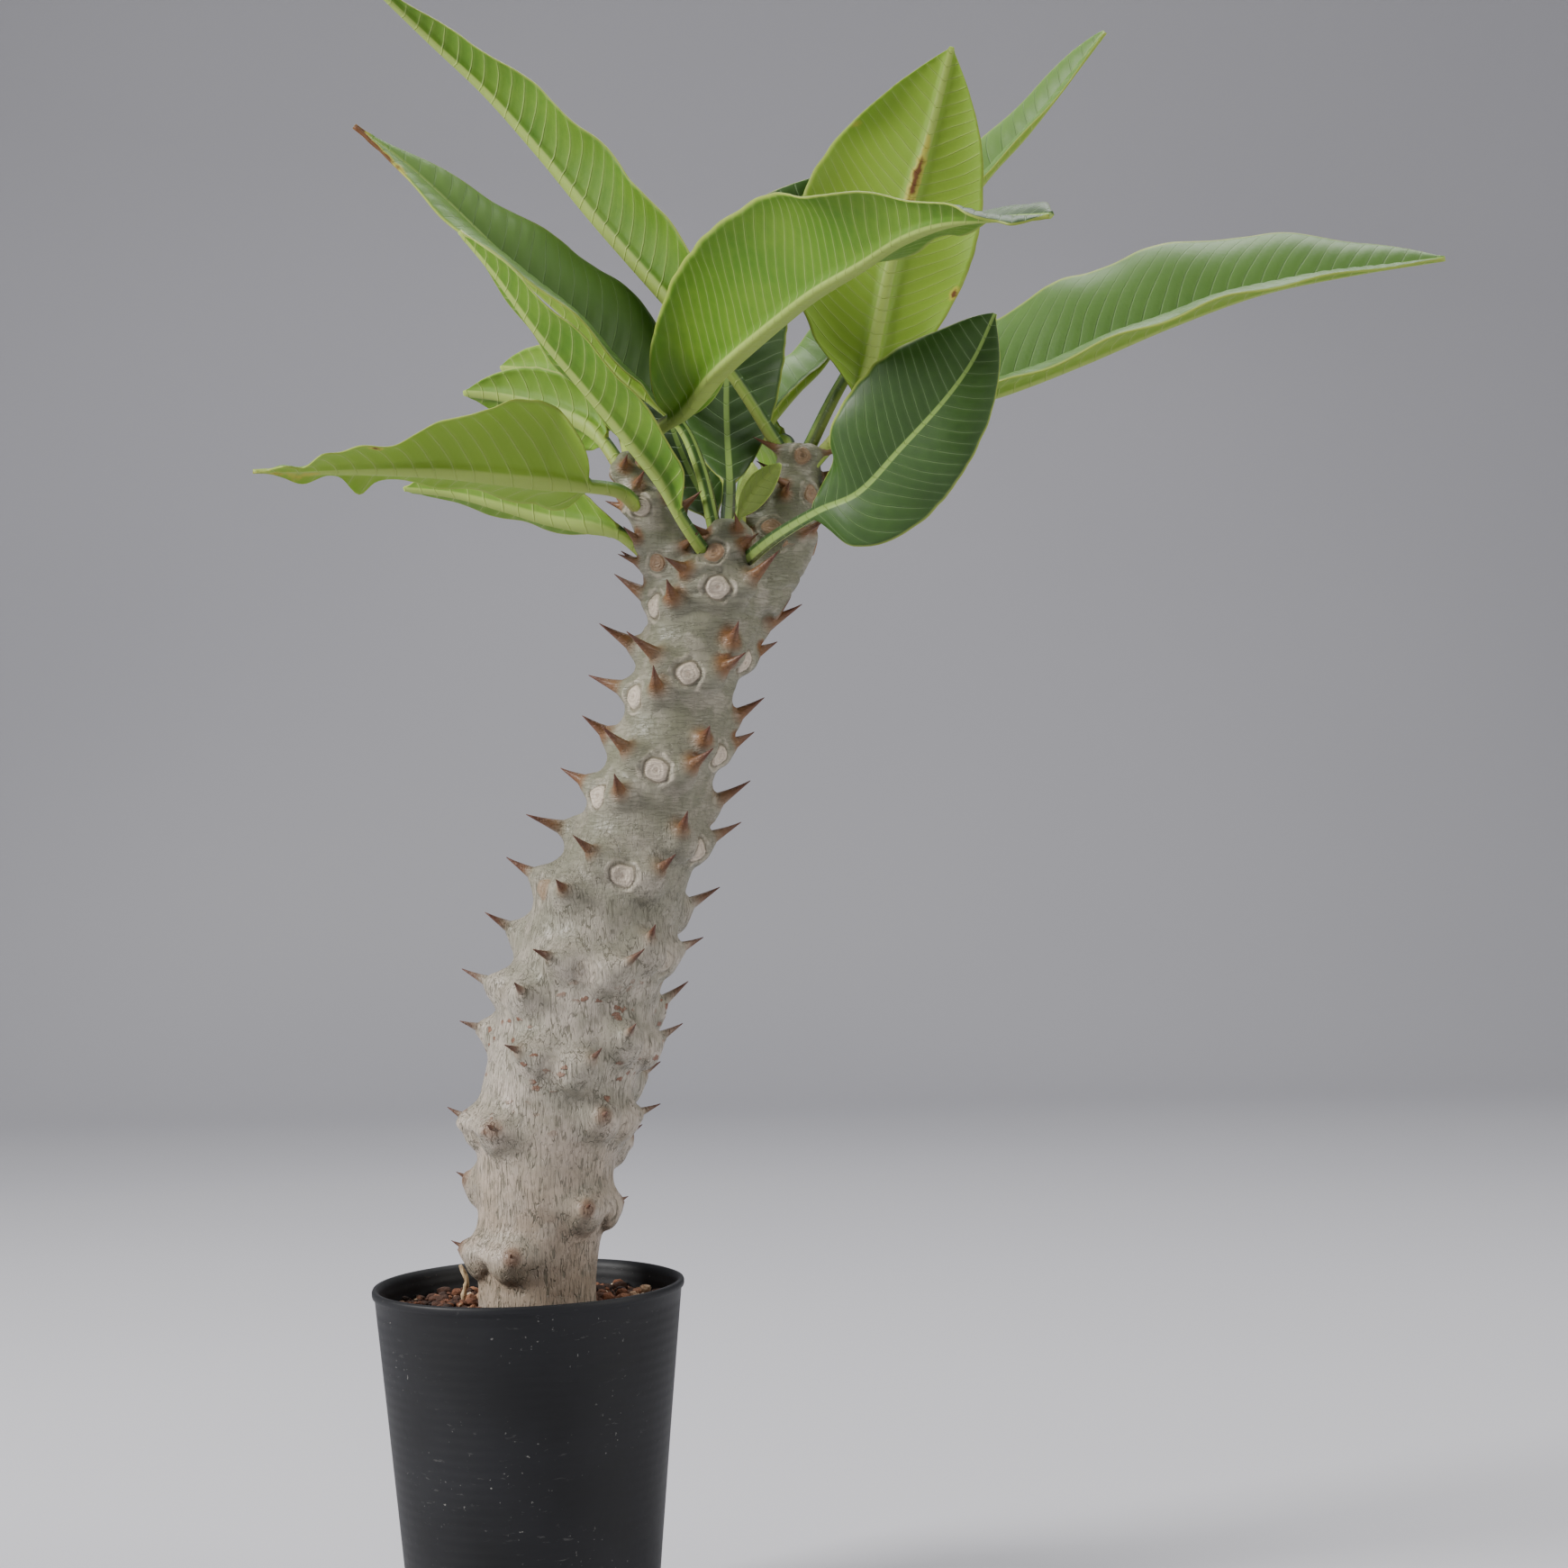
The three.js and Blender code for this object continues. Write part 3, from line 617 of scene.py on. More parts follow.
@dataclass(frozen=True)
class Pot:
    """The round nursery pot: a soft wall with a rolled lip, and a floor with drain holes."""

    rim: float = 37.5
    foot: float = 29.5
    height: float = 90.0
    wall: float = 1.2
    lip: float = 0.45
    lip_height: float = 2.2
    # How far in from the radius, and how far over the lip's foot or below the top.
    lip_foot: Table = ((0.15, 0.35), (0.0, 0.8))
    lip_top: Table = ((0.0, 0.6), (0.2, 0.15))
    lip_edge: Table = ((0.2, 0.0), (0.8, 0.1))
    floor: float = 1.6
    fillet: float = 0.6
    hub: float = 12.0
    chamfer: float = 1.0
    steps: int = 144
    rows: int = 24
    # Waves round the wall, depth and phase.
    bulges: Sequence[tuple[int, float, float]] = ((2, 0.45, 0.6), (3, 0.3, 2.1), (7, 0.12, 0.9))
    drains: int = 5
    drain_radius: float = 2.8
    drain_ring: float = 20.0
    drain_turn: float = 0.3
    drill_length: float = 8.0

    def radius(self, height: float) -> float:
        """Returns the outer radius at a height."""
        return lerp(self.foot, self.rim, height / self.height)

    def swell(self, angle: float, height: float) -> float:
        """Returns how far the soft wall bulges at an angle and a height."""
        wave = sum(depth * math.sin(count * angle + phase) for count, depth, phase in self.bulges)
        return wave * (height / self.height) ** 2

    def follow(self, mesh: bmesh.types.BMesh) -> None:
        """Moves every vertex of a turned mesh out with the wall's bulge."""
        for vert in mesh.verts:
            radius = math.hypot(vert.co.x, vert.co.y)
            if radius < 1e-6:
                continue
            height = vert.co.z / MM
            grown = 1 + self.swell(math.atan2(vert.co.y, vert.co.x), height) / self.radius(height)
            vert.co.x *= grown
            vert.co.y *= grown

    def profile(self) -> list[tuple[float, float]]:
        """Returns the outline of the shell from the underside's centre to the floor's centre."""
        top, lip_foot = self.height, self.height - self.lip_height
        rows = [self.chamfer + (lip_foot - self.chamfer) * row / self.rows for row in range(self.rows + 1)]
        outer = [(self.radius(row), row) for row in rows]
        out = self.radius(top) + self.lip
        rolled = [(out - inset, lip_foot + rise) for inset, rise in self.lip_foot]
        rolled += [(out - inset, top - drop) for inset, drop in self.lip_top]
        edge = [(self.radius(top) - inset, top - drop) for inset, drop in self.lip_edge]
        inner = [(self.radius(row) - self.wall, row) for row in reversed(rows[1:])]
        eased = 0.35 * self.chamfer
        feet = [(self.foot - self.chamfer, 0.0), (self.foot - eased, eased)]
        corner = self.radius(self.floor) - self.wall - self.fillet
        floor = [(radius, self.floor) for radius in (corner, self.hub, 0.0)]
        return [(0.0, 0.0), (self.hub, 0.0), *feet, *outer, *rolled, *edge, *inner, *floor]

    def drilled(self, shell: bpy.types.Object) -> None:
        """Cuts the drain holes through the floor of the shell."""
        drills = bmesh.new()
        reach, radius = self.drain_ring * MM, self.drain_radius * MM
        for index in range(self.drains):
            angle = 2 * math.pi * index / self.drains + self.drain_turn
            bmesh.ops.create_cone(
                drills,
                cap_ends=True,
                segments=32,
                radius1=radius,
                radius2=radius,
                depth=self.drill_length * MM,
                matrix=Matrix.Translation((reach * math.cos(angle), reach * math.sin(angle), 0)),
            )
        tool = added("drills", mesh_data(drills, "drills", is_smooth=False))
        cut = shell.modifiers.new("drains", "BOOLEAN")
        cut.operation, cut.solver, cut.object = "DIFFERENCE", "EXACT", tool
        graph = bpy.context.evaluated_depsgraph_get()
        shell.data = bpy.data.meshes.new_from_object(shell.evaluated_get(graph))
        shell.modifiers.clear()
        bpy.data.objects.remove(tool)

    def build(self) -> bpy.types.Object:
        """Builds the pot and returns its piece."""
        mesh = spun(self.profile(), self.steps)
        self.follow(mesh)
        piece = placed(mesh, "nursery_pot", "pot", Slot.POT, PotPlastic().material())
        self.drilled(piece)
        return piece


# Soil


@dataclass(frozen=True)
class SoilGrit:
    """Gritty red-brown soil: each grain has its own tint."""

    stops: Sequence[tuple[float, Colour]] = (
        (0.0, linear(38, 27, 22)),
        (0.35, linear(74, 48, 36)),
        (0.6, linear(112, 70, 48)),
        (0.8, linear(140, 98, 72)),
        (0.93, linear(176, 150, 122)),
        (1.0, linear(206, 190, 168)),
    )

    def material(self) -> bpy.types.Material:
        """Builds the soil's material."""
        shader = Shader("gritty soil")
        grain = shader.noise(1400, 4)
        tint = (shader.read("tint") + (grain - 0.5) * 0.35).held()
        colour = shader.ramp(tint, self.stops)
        return shader.finish(
            {"Base Color": colour, "Roughness": 0.95, "Normal": shader.bump(grain, 0.35, 0.8)}
        )


@dataclass(frozen=True)
class Soil:
    """The filling of the pot, with its crust of loose grains."""

    pot: Pot
    stem_x: float
    stem_radius: float
    top: float = 83.4
    relief: float = 0.7
    gap: float = 0.3
    levels: Sequence[float] = (22, 42, 62)
    shoulder: float = 4.0
    rings: int = 22
    sides: int = 120
    crumb: float = 2.2
    coarse: int = 210
    coarse_size: tuple[float, float] = (0.9, 2.1)
    fine: int = 900
    fine_size: tuple[float, float] = (0.35, 0.95)
    seed: int = 11

    def hump(self, x: float, y: float) -> float:
        """Returns the low relief of the top at a point, in millimetres."""
        wave = math.sin(x * 0.31 + 1.2) * math.cos(y * 0.27) + 0.4 * math.sin(x * 0.77 + y * 0.63)
        return self.relief * wave

    def filling(self) -> bmesh.types.BMesh:
        """Returns the body of the soil with a humped top."""
        low = self.pot.floor + self.gap
        heights = (low, *self.levels, self.top - self.shoulder, self.top)
        inner = [(self.pot.radius(z) - self.pot.wall - self.gap, z) for z in heights]
        crown = [(inner[-1][0] * ring / self.rings, self.top) for ring in reversed(range(self.rings))]
        mesh = spun([(0.0, low), *inner, *crown], self.sides)
        self.pot.follow(mesh)
        for vert in mesh.verts:
            if vert.co.z > (self.top - 0.01) * MM:
                rough = 0.6 * wander(vert.co, self.crumb * MM)
                vert.co.z += (self.hump(vert.co.x / MM, vert.co.y / MM) + rough) * MM
        return mesh

    def grain(self, draw: random.Random, is_coarse: bool) -> bmesh.types.BMesh:
        """Makes one grain, in its place on the top.

        Args:
            draw: Where its size, place, turn and tint come from.
            is_coarse: Whether it is one of the large grains.

        Returns:
            The grain, with its tint on each vertex.
        """
        size = draw.uniform(*(self.coarse_size if is_coarse else self.fine_size))
        outer = self.pot.radius(self.top) - self.pot.wall - self.gap
        angle = draw.uniform(0, 2 * math.pi)
        reach = math.sqrt(draw.uniform((self.stem_radius + 0.2 * size) ** 2, (outer - size) ** 2))
        x = self.stem_x * (1 - reach / outer) + reach * math.cos(angle)
        y = reach * math.sin(angle)
        centre = Vector((x, y, self.top + self.hump(x, y) + 0.35 * size)) * MM
        turn = Matrix.Rotation(draw.uniform(0, 6), 4, "Z")
        tilt = Matrix.Rotation(draw.uniform(-0.5, 0.5), 4, "X")
        shape = Matrix.Diagonal((1, draw.uniform(0.65, 0.95), draw.uniform(0.55, 0.85), 1))
        mesh = bmesh.new()
        tint = mesh.verts.layers.float.new("tint")
        bmesh.ops.create_icosphere(
            mesh,
            subdivisions=2 if is_coarse else 1,
            radius=size * MM,
            matrix=Matrix.Translation(centre) @ turn @ tilt @ shape,
        )
        value = draw.random() ** 1.3
        for vert in mesh.verts:
            vert[tint] = value
            vert.co += (vert.co - centre) * 0.28 * wander(vert.co, 1.1 * MM)
        return mesh

    def build(self) -> bpy.types.Object:
        """Builds the soil and returns its piece."""
        filling = self.filling()
        tint = filling.verts.layers.float.new("tint")
        for index, vert in enumerate(filling.verts):
            vert[tint] = 0.12 + 0.3 * scatter(index + 1)
        draw = random.Random(self.seed)
        grains = (self.grain(draw, index < self.coarse) for index in range(self.coarse + self.fine))
        mesh = joined([filling, *grains])
        return placed(mesh, "potting_soil", "soil", Slot.SOIL, SoilGrit().material(), is_smooth=False)


@dataclass(frozen=True)
class DryRoot:
    """The end of a dead root that sticks out of the soil."""

    route: Table = ((-17.5, 13, 80), (-17.5, 13, 85), (-16.6, 12.4, 88.5), (-18.2, 12.8, 92.5))
    radius: float = 0.65
    pale: Colour = linear(222, 198, 158)
    brown: Colour = linear(120, 92, 62)

    def material(self) -> bpy.types.Material:
        """Builds the pale wood's material."""
        shader = Shader("dry root")
        grain = shader.noise(1, 4, shader.place((1500, 1500, 300)))
        colour = shader.ramp(grain, ((0.3, self.brown), (0.7, self.pale)))
        return shader.finish({"Base Color": colour, "Roughness": 0.85, "Normal": shader.bump(grain, 0.2)})

    def build(self) -> bpy.types.Object:
        """Builds the root and returns its piece."""
        route = Route(self.route)
        radii = [self.radius * (1 + 0.25 * math.sin(9 * step)) for step in range(9)]
        mesh = loft(Limb(route, [*radii, 0.6 * self.radius]).rings(12, 36))
        return placed(mesh, "dead_root", "dry_root", Slot.DRY, self.material())


# Stem


@dataclass(frozen=True)
class Change:
    """A value that changes with height: where the change begins and ends, and its value there."""

    low: float
    high: float
    start: float
    end: float

    def at(self, height: float) -> float:
        """Returns the value at a height in millimetres."""
        return lerp(self.start, self.end, smoothstep(self.low, self.high, height))


@dataclass(frozen=True)
class Scar:
    """A leaf scar: the limb, where it is on it, and the length of the spines beside it."""

    limb: Limb
    share: float
    angle: float
    spine: float
    is_stem: bool

    RADIUS: ClassVar[float] = 2.8
    SHOOT_RADIUS: ClassVar[float] = 2.3
    FRESHNESS: ClassVar[Change] = Change(160, 205, 0.22, 1.0)
    SHOOT_FRESHNESS: ClassVar[float] = 0.85

    @property
    def radius(self) -> float:
        """The radius of the scar's disc."""
        return self.RADIUS if self.is_stem else self.SHOOT_RADIUS

    @property
    def height(self) -> float:
        """The height of the limb's axis at the scar."""
        return self.limb.route.point(self.share).z

    @property
    def freshness(self) -> float:
        """How clearly the scar still shows: old ones low on the stem have faded."""
        return self.FRESHNESS.at(self.height) if self.is_stem else self.SHOOT_FRESHNESS


@dataclass(frozen=True)
class Swell:
    """A low swelling of the bark: its height, and how far it reaches down, up and across."""

    height: float
    down: float
    up: float
    across: float

    def raised(self, run: float, across: float) -> float:
        """Returns how high it stands at a distance along the limb and across it."""
        along = self.down if run < 0 else self.up
        return self.height * math.exp(-((run / along) ** 2) - (across / self.across) ** 2)


@dataclass(frozen=True)
class Spine:
    """One spine: its foot on the bark, its direction and its length, in millimetres."""

    foot: Vector
    way: Vector
    length: float
    size: float
    mound: float

    # Share of the length and radius.
    NEEDLE: ClassVar[Table] = (
        (0.0, 2.7), (0.12, 2.3), (0.25, 1.82), (0.4, 1.38), (0.55, 1.0), (0.7, 0.66), (0.85, 0.36),
        (1.0, 0.09),
    )
    # Distance from the foot and radius.
    FLARE: ClassVar[Table] = (
        (-3.0, 4.7), (-1.2, 4.6), (0.4, 4.2), (1.8, 3.4), (3.0, 2.6), (4.2, 1.8), (5.4, 1.05),
    )
    SIDES: ClassVar[int] = 8
    FLARE_SIDES: ClassVar[int] = 14
    BEND: ClassVar[float] = 0.07

    def rings(self, shape: Table, sides: int, bend: float) -> list[list[Vector]]:
        """Lays rings along the spine.

        Args:
            shape: Pairs of distance from the foot and radius, in millimetres.
            sides: The points of a ring.
            bend: How far the tip curves upwards, as a share of the length.

        Returns:
            The rings from the root to the tip.
        """
        across = self.way.cross(UP).normalized()
        other = across.cross(self.way).normalized()
        rings = []
        for reach, radius in shape:
            lifted = bend * self.length * max(0.0, reach / self.length) ** 2
            centre = self.foot + self.way * reach + UP * lifted
            angles = [2 * math.pi * side / sides for side in range(sides)]
            rings.append([centre + radius * (across * math.cos(a) + other * math.sin(a)) for a in angles])
        return rings

    def flare(self) -> list[list[Vector]]:
        """Returns the rings of the woody cone that the spine stands on."""
        grown = min(self.mound, 1.0, 0.75 * self.length / self.FLARE[-1][0])
        cone = [(reach * grown, radius * self.mound) for reach, radius in self.FLARE]
        return self.rings(cone, self.FLARE_SIDES, 0.0)

    def needle(self) -> list[list[Vector]]:
        """Returns the rings of the sharp part."""
        sharp = [(share * self.length, radius * self.size) for share, radius in self.NEEDLE]
        return self.rings(sharp, self.SIDES, self.BEND)


@dataclass(frozen=True)
class Bark:
    """Silvery bark, greener towards the top, with cracks, scabs, scars, brown horn on the spines, painted
    sheen on the mounds and painted shade round their feet.
    """

    silver: Colour = linear(180, 170, 157)
    tan: Colour = linear(172, 150, 130)
    grey: Colour = linear(138, 134, 118)
    olive: Colour = linear(104, 106, 82)
    moss: Colour = linear(84, 88, 56)
    crack: Colour = linear(98, 94, 78)
    scab: Colour = linear(124, 82, 60)
    scar: Colour = linear(216, 202, 184)
    warm_scar: Colour = linear(146, 110, 78)
    scar_ring: Colour = linear(104, 78, 58)
    horn: Colour = linear(116, 80, 46)
    tip: Colour = linear(90, 50, 34)

    def cracks(self, shader: Shader, height: Wire) -> Wire:
        """Returns the net of fine cracks: lengthwise low on the stem, round it higher up."""
        broken = shader.step(shader.noise(280, 3), 0.42, 0.58)
        low = shader.lines((700, 700, 95), 0.008, 0.04) * broken
        low += shader.lines((1300, 1300, 190), 0.008, 0.04) * 0.4
        around = shader.lines((170, 170, 1000), 0.01, 0.06, 3, 0.55)
        high = around * shader.step(height, 165, 205) * 0.35
        return (low * shader.fall(height, 175, 225) + high).held()

    def scabs(self, shader: Shader, height: Wire) -> Wire:
        """Returns where small brown flakes sit, in a belt about the middle of the stem."""
        spot = shader.cells(300, shader.warped((1.0, 1.0, 1.9), 0.8, 900))
        chosen = shader.step(spot.other("Color"), 0.66, 0.68)
        belt = shader.step(height, 124, 136) * shader.fall(height, 158, 168)
        clustered = shader.step(shader.noise(70, 2), 0.48, 0.56)
        return shader.fall(spot, 0.3, 0.42) * chosen * belt * clustered

    def material(self) -> bpy.types.Material:
        """Builds the bark's material."""
        shader = Shader("bark")
        height = shader.height()
        cloud = shader.noise(85, 4)
        patch = shader.noise(300, 4)
        grain = shader.noise(1, 4, shader.place((1500, 1500, 420)), 0.6)
        swell = shader.read("swell")
        mottled = shader.step(patch * 0.5 + cloud * 0.5, 0.38, 0.6)
        low = shader.fall(height + cloud * 40.0, 125, 165)
        middle = shader.step(height + cloud * 30.0, 165, 215)
        upper = shader.step(height + cloud * 60.0, 180, 265)
        shoots = shader.step(height + cloud * 26.0, 268, 300)
        # Partly the bark's own silvery bloom in random patches, partly painted sheen: silver laid on the
        # tops of the swellings.
        bloom_and_mound_sheen = shader.step(shader.noise(140, 3), 0.5, 0.66) * 0.8 + shader.step(swell, 0.5, 1.5) * 1.2
        # Painted shade: a darker grey ring round the foot of each swelling.
        mound_foot_shade = shader.step(swell, 0.05, 0.35) * shader.fall(swell, 0.45, 0.9)
        cracks = self.cracks(shader, height)
        scabs = self.scabs(shader, height)
        burnt = shader.step(shader.read("reach") + patch * 0.3, 0.5, 1.1)
        horn = shader.mix(self.horn, self.tip, burnt)
        scar = shader.read("scar")
        fresh = shader.read("fresh")
        disc = shader.fall(scar, 0.9, 1.02) * fresh
        plate = shader.mix(self.scar, self.warm_scar, shader.read("warm"))
        ring_lines = ((scar * 17.0 + patch * 9.0).sine() * 0.5 + 0.5) * disc
        heart = shader.fall(scar, 0.08, 0.26) * fresh
        rim = shader.fall(abs(scar - 1.08), 0.02, 0.16) * fresh
        crust = shader.fall(abs(scar - 1.42), 0.05, 0.3) * fresh * shader.step(patch, 0.4, 0.6)
        colour = shader.layered(
            self.silver,
            (self.grey, mottled * 0.8),
            (self.tan, low * (0.35 + 0.5 * cloud)),
            (self.grey, middle * 0.6),
            (self.olive, upper * (0.45 + 0.5 * patch)),
            (self.moss, shoots * (0.35 + 0.6 * cloud)),
            # Silver bloom, with painted sheen on the mound tops.
            (self.silver, (bloom_and_mound_sheen * 0.5).held()),
            # Painted shade round the mounds' feet.
            (self.grey, mound_foot_shade * 0.4),
            (self.crack, cracks * 0.8),
            (self.scab, scabs * (0.6 + 0.6 * grain)),
            (horn, (shader.read("horn") * (0.75 + 0.5 * patch)).held()),
            (plate, disc * (0.55 + 0.6 * patch)),
            (self.scar_ring, ring_lines * 0.2),
            (self.scar_ring, (rim * 0.34 + heart * 0.4).held()),
            (self.scar, crust * 0.35),
        )
        relief = grain * 0.3 - cracks * 0.8 + patch * 0.5 + scabs * 0.9 - ring_lines * 0.3 + crust * 0.5
        return shader.finish(
            {
                "Base Color": colour,
                "Roughness": 0.38 + 0.2 * patch + 0.1 * cracks,
                "Normal": shader.bump(relief, 0.5, 0.8),
            }
        )


@dataclass
class Stem:
    """The grey stem, its three shoots, its scars on cushions and the spines beside them."""

    # Height, place to the right, place to the back and radius.
    axis: Table = (
        (66, 2.4, 0, 14.4), (84, 2.4, 0, 14.4), (95, 2.6, 0, 14.6), (108, 3.8, 0, 15.6), (121, 5.4, 0, 16.9),
        (135, 7.5, 0, 17.8), (148, 11.3, 0.5, 18.4), (157, 13.7, 1, 18.5), (166, 16.8, 1, 18),
        (175, 19.2, 1, 17.3), (183, 23, 1, 16.4), (192, 27, 0.5, 15.3), (205, 32.2, 0, 13.8),
        (214, 35.3, -0.5, 13), (228, 40.1, -1, 12.2), (237, 42.4, -1, 12), (246, 45, -1, 12.4),
        (254, 47.9, -1, 13.2), (261, 50.3, -1, 13.6), (267, 52, -2, 12),
    )
    # The points of each shoot and its radii.
    shoot_axes: dict[Shoot, tuple[Table, Sequence[float]]] = field(default_factory=lambda: {
        Shoot.LEFT: (
            ((46, -1, 256), (42, -2, 265), (38.3, -3, 273), (34.6, -4, 281), (31.6, -5, 288), (30, -5, 294)),
            (9, 8, 6.6, 5.4, 4.4, 3),
        ),
        Shoot.RIGHT: (
            ((57, 1, 257), (63, 3, 266), (67, 5, 274), (69.4, 6, 281), (71.2, 7, 289), (72, 7, 296.5)),
            (10, 9.6, 8.6, 6.7, 5.8, 4.6),
        ),
        Shoot.MIDDLE: (
            ((51, -4, 258), (53, -6.5, 265), (54, -8, 270), (54.3, -9, 276)),
            (8, 6.4, 4.9, 3.6),
        ),
    })
    # An angle from the front and the heights of the scars there.
    ranks: Sequence[tuple[float, Sequence[float]]] = (
        (2, (263, 240, 217, 192, 168, 144)),
        (68, (247, 224, 202, 177, 152, 133, 110)),
        (-57, (253, 232, 207, 181, 157, 127)),
        (-41, (97,)),
        (-122, (259, 242, 219, 195, 171, 146, 112)),
        (134, (254, 230, 210, 186, 161, 143, 125)),
    )
    # Share of the shoot and angle from the front.
    shoot_scars: dict[Shoot, Table] = field(default_factory=lambda: {
        Shoot.LEFT: ((0.3, -35), (0.42, -120), (0.62, -20), (0.72, -75), (0.86, -100), (0.5, 130)),
        Shoot.RIGHT: ((0.36, -15), (0.42, 95), (0.6, -65), (0.68, 40), (0.8, 165), (0.93, 10), (0.5, -170)),
        Shoot.MIDDLE: ((0.62, -25), (0.8, 95), (0.75, -140)),
    })
    ground: float = 83.4
    bare_foot: float = 4.0
    spine_top: float = 11.5
    spine_foot: float = 6.5
    spine_heights: tuple[float, float] = (105, 170)
    spine_size: tuple[float, float] = (0.8, 1.12)
    shoot_spine: float = 0.72
    shoot_size: float = 0.74
    shoot_mound: float = 0.68
    turn_spread: float = 8.0
    pair_gap: float = 6.2
    pair_angle: float = 44.0
    pair_lean: float = 24.0
    horn_start: Change = Change(160, 225, 0.5, 0.2)
    horn_strength: Change = Change(140, 200, 0.7, 1.0)
    mound_size: Change = Change(175, 225, 1.3, 0.96)
    mound_strength: Change = Change(110, 128, 0.6, 1.0)
    ledge_top: float = 130.0
    ledge: Swell = Swell(2.6, 1.7, 4.8, 10.0)
    cushion: Swell = Swell(1.3, 6.5, 6.5, 7.5)
    shoot_cushion: Swell = Swell(0.5, 6.5, 6.5, 7.5)
    mound_least: float = 0.3
    mound_slope: float = 6.5
    mound_offset: float = 4.3
    mound_width: float = 3.7
    mound_power: float = 2.4
    collar: tuple[float, float] = (245, 268)
    # Height and depth.
    creases: Table = ((252.5, 0.4), (257.0, 0.65), (261.5, 0.5))
    crease_width: float = 0.9
    crease_wander: float = 3.2
    cushion_reach: float = 18.0
    mound_reach: float = 11.0
    scar_reach: float = 13.0
    trunk_grid: tuple[int, int] = (72, 150)
    shoot_grid: tuple[int, int] = (40, 40)
    smoothing: tuple[int, int] = (6, 5)
    cell: float = 0.66

    MARKS: ClassVar[Sequence[str]] = ("scar", "fresh", "warm", "horn", "reach", "swell")

    def __post_init__(self) -> None:
        """Lays out the limbs, the scars and the spines."""
        self.trunk = Limb(Route([(x, y, z) for z, x, y, _ in self.axis]), [row[3] for row in self.axis])
        self.shoots = {shoot: Limb(Route(axis), radii) for shoot, (axis, radii) in self.shoot_axes.items()}
        self.scars = self.all_scars()
        self.spines = [spine for number, scar in enumerate(self.scars) for spine in self.pair(scar, number)]

    def share_at(self, height: float) -> float:
        """Returns the share of the trunk's curve at a height."""
        above = next(index for index, row in enumerate(self.axis) if row[0] >= height)
        low = max(above - 1, 0)
        step = (height - self.axis[low][0]) / (self.axis[low + 1][0] - self.axis[low][0])
        return (low + step) / (len(self.axis) - 1)

    def all_scars(self) -> list[Scar]:
        """Returns the scars of the trunk and of the shoots."""
        scars = []
        low, high = self.spine_heights
        for angle, heights in self.ranks:
            for height in heights:
                length = lerp(self.spine_foot, self.spine_top, clamp((height - low) / (high - low)))
                turn = angle + self.turn_spread * (scatter(height) - 0.5)
                scars.append(Scar(self.trunk, self.share_at(height), turn, length, True))
        length = self.shoot_spine * self.spine_top
        for shoot, rows in self.shoot_scars.items():
            limb = self.shoots[shoot]
            scars += [Scar(limb, share, angle, length, False) for share, angle in rows]
        return scars

    def pair(self, scar: Scar, number: int) -> list[Spine]:
        """Returns the two spines beside a scar: they lean out to both sides and climb."""
        apart = math.degrees(self.pair_gap / scar.limb.radius(scar.share))
        lift = 0.2 if scar.is_stem else -0.4
        grown = clamp((scar.spine - self.spine_foot) / (self.spine_top - self.spine_foot))
        size = lerp(*self.spine_size, grown) if scar.is_stem else self.shoot_size
        spines = []
        for side in (-1, 1):
            foot = scar.limb.surface(scar.share, scar.angle + side * min(apart, self.pair_angle), lift)
            way = scar.limb.outward(scar.share, scar.angle + side * (apart + self.pair_lean))
            way.z = 0
            way.normalize()
            way.z = 0.1 + 0.35 * scar.spine / self.spine_top + 0.4 * (scatter(7 * number + side) - 0.5)
            length = scar.spine * (0.85 + 0.3 * scatter(11 * number + side))
            mound = self.mound_size.at(foot.z) if scar.is_stem else self.shoot_mound
            spines.append(Spine(foot, way.normalized(), length, size, mound))
        return spines

    def near(self, point: Vector, outward: Vector, reach: float) -> Iterator[tuple[int, float, float]]:
        """Finds the scars on the near side of the bark.

        Args:
            point: A point of the bark, in metres.
            outward: The bark's normal there.
            reach: How far to look, in millimetres.

        Yields:
            A scar's number, and how far above it and beside it the point is, in millimetres.
        """
        for _, index, _ in self.scar_tree.find_range(point, reach * MM):
            centre, normal, along = self.scar_frames[index]
            if normal.dot(outward) < 0.15:
                continue
            offset = (point - centre) / MM
            offset -= normal * offset.dot(normal)
            run = offset.dot(along)
            yield index, run, (offset - along * run).length

    def swelling(self, point: Vector, outward: Vector) -> float:
        """Returns how far cushions, ledges and the spines' mounds raise the bark at a point."""
        raised = 0.0
        for index, run, across in self.near(point, outward, self.cushion_reach):
            scar = self.scars[index]
            low_or_high = self.ledge if scar.height < self.ledge_top else self.cushion
            raised += (low_or_high if scar.is_stem else self.shoot_cushion).raised(run, across)
        for _, index, distance in self.foot_tree.find_range(point, self.mound_reach * MM):
            spine = self.spines[index]
            swollen = max(self.mound_least, self.mound_slope * spine.mound - self.mound_offset)
            swollen *= self.mound_strength.at(spine.foot.z)
            raised += swollen * bell(distance / MM, self.mound_width * spine.mound, self.mound_power)
        return raised

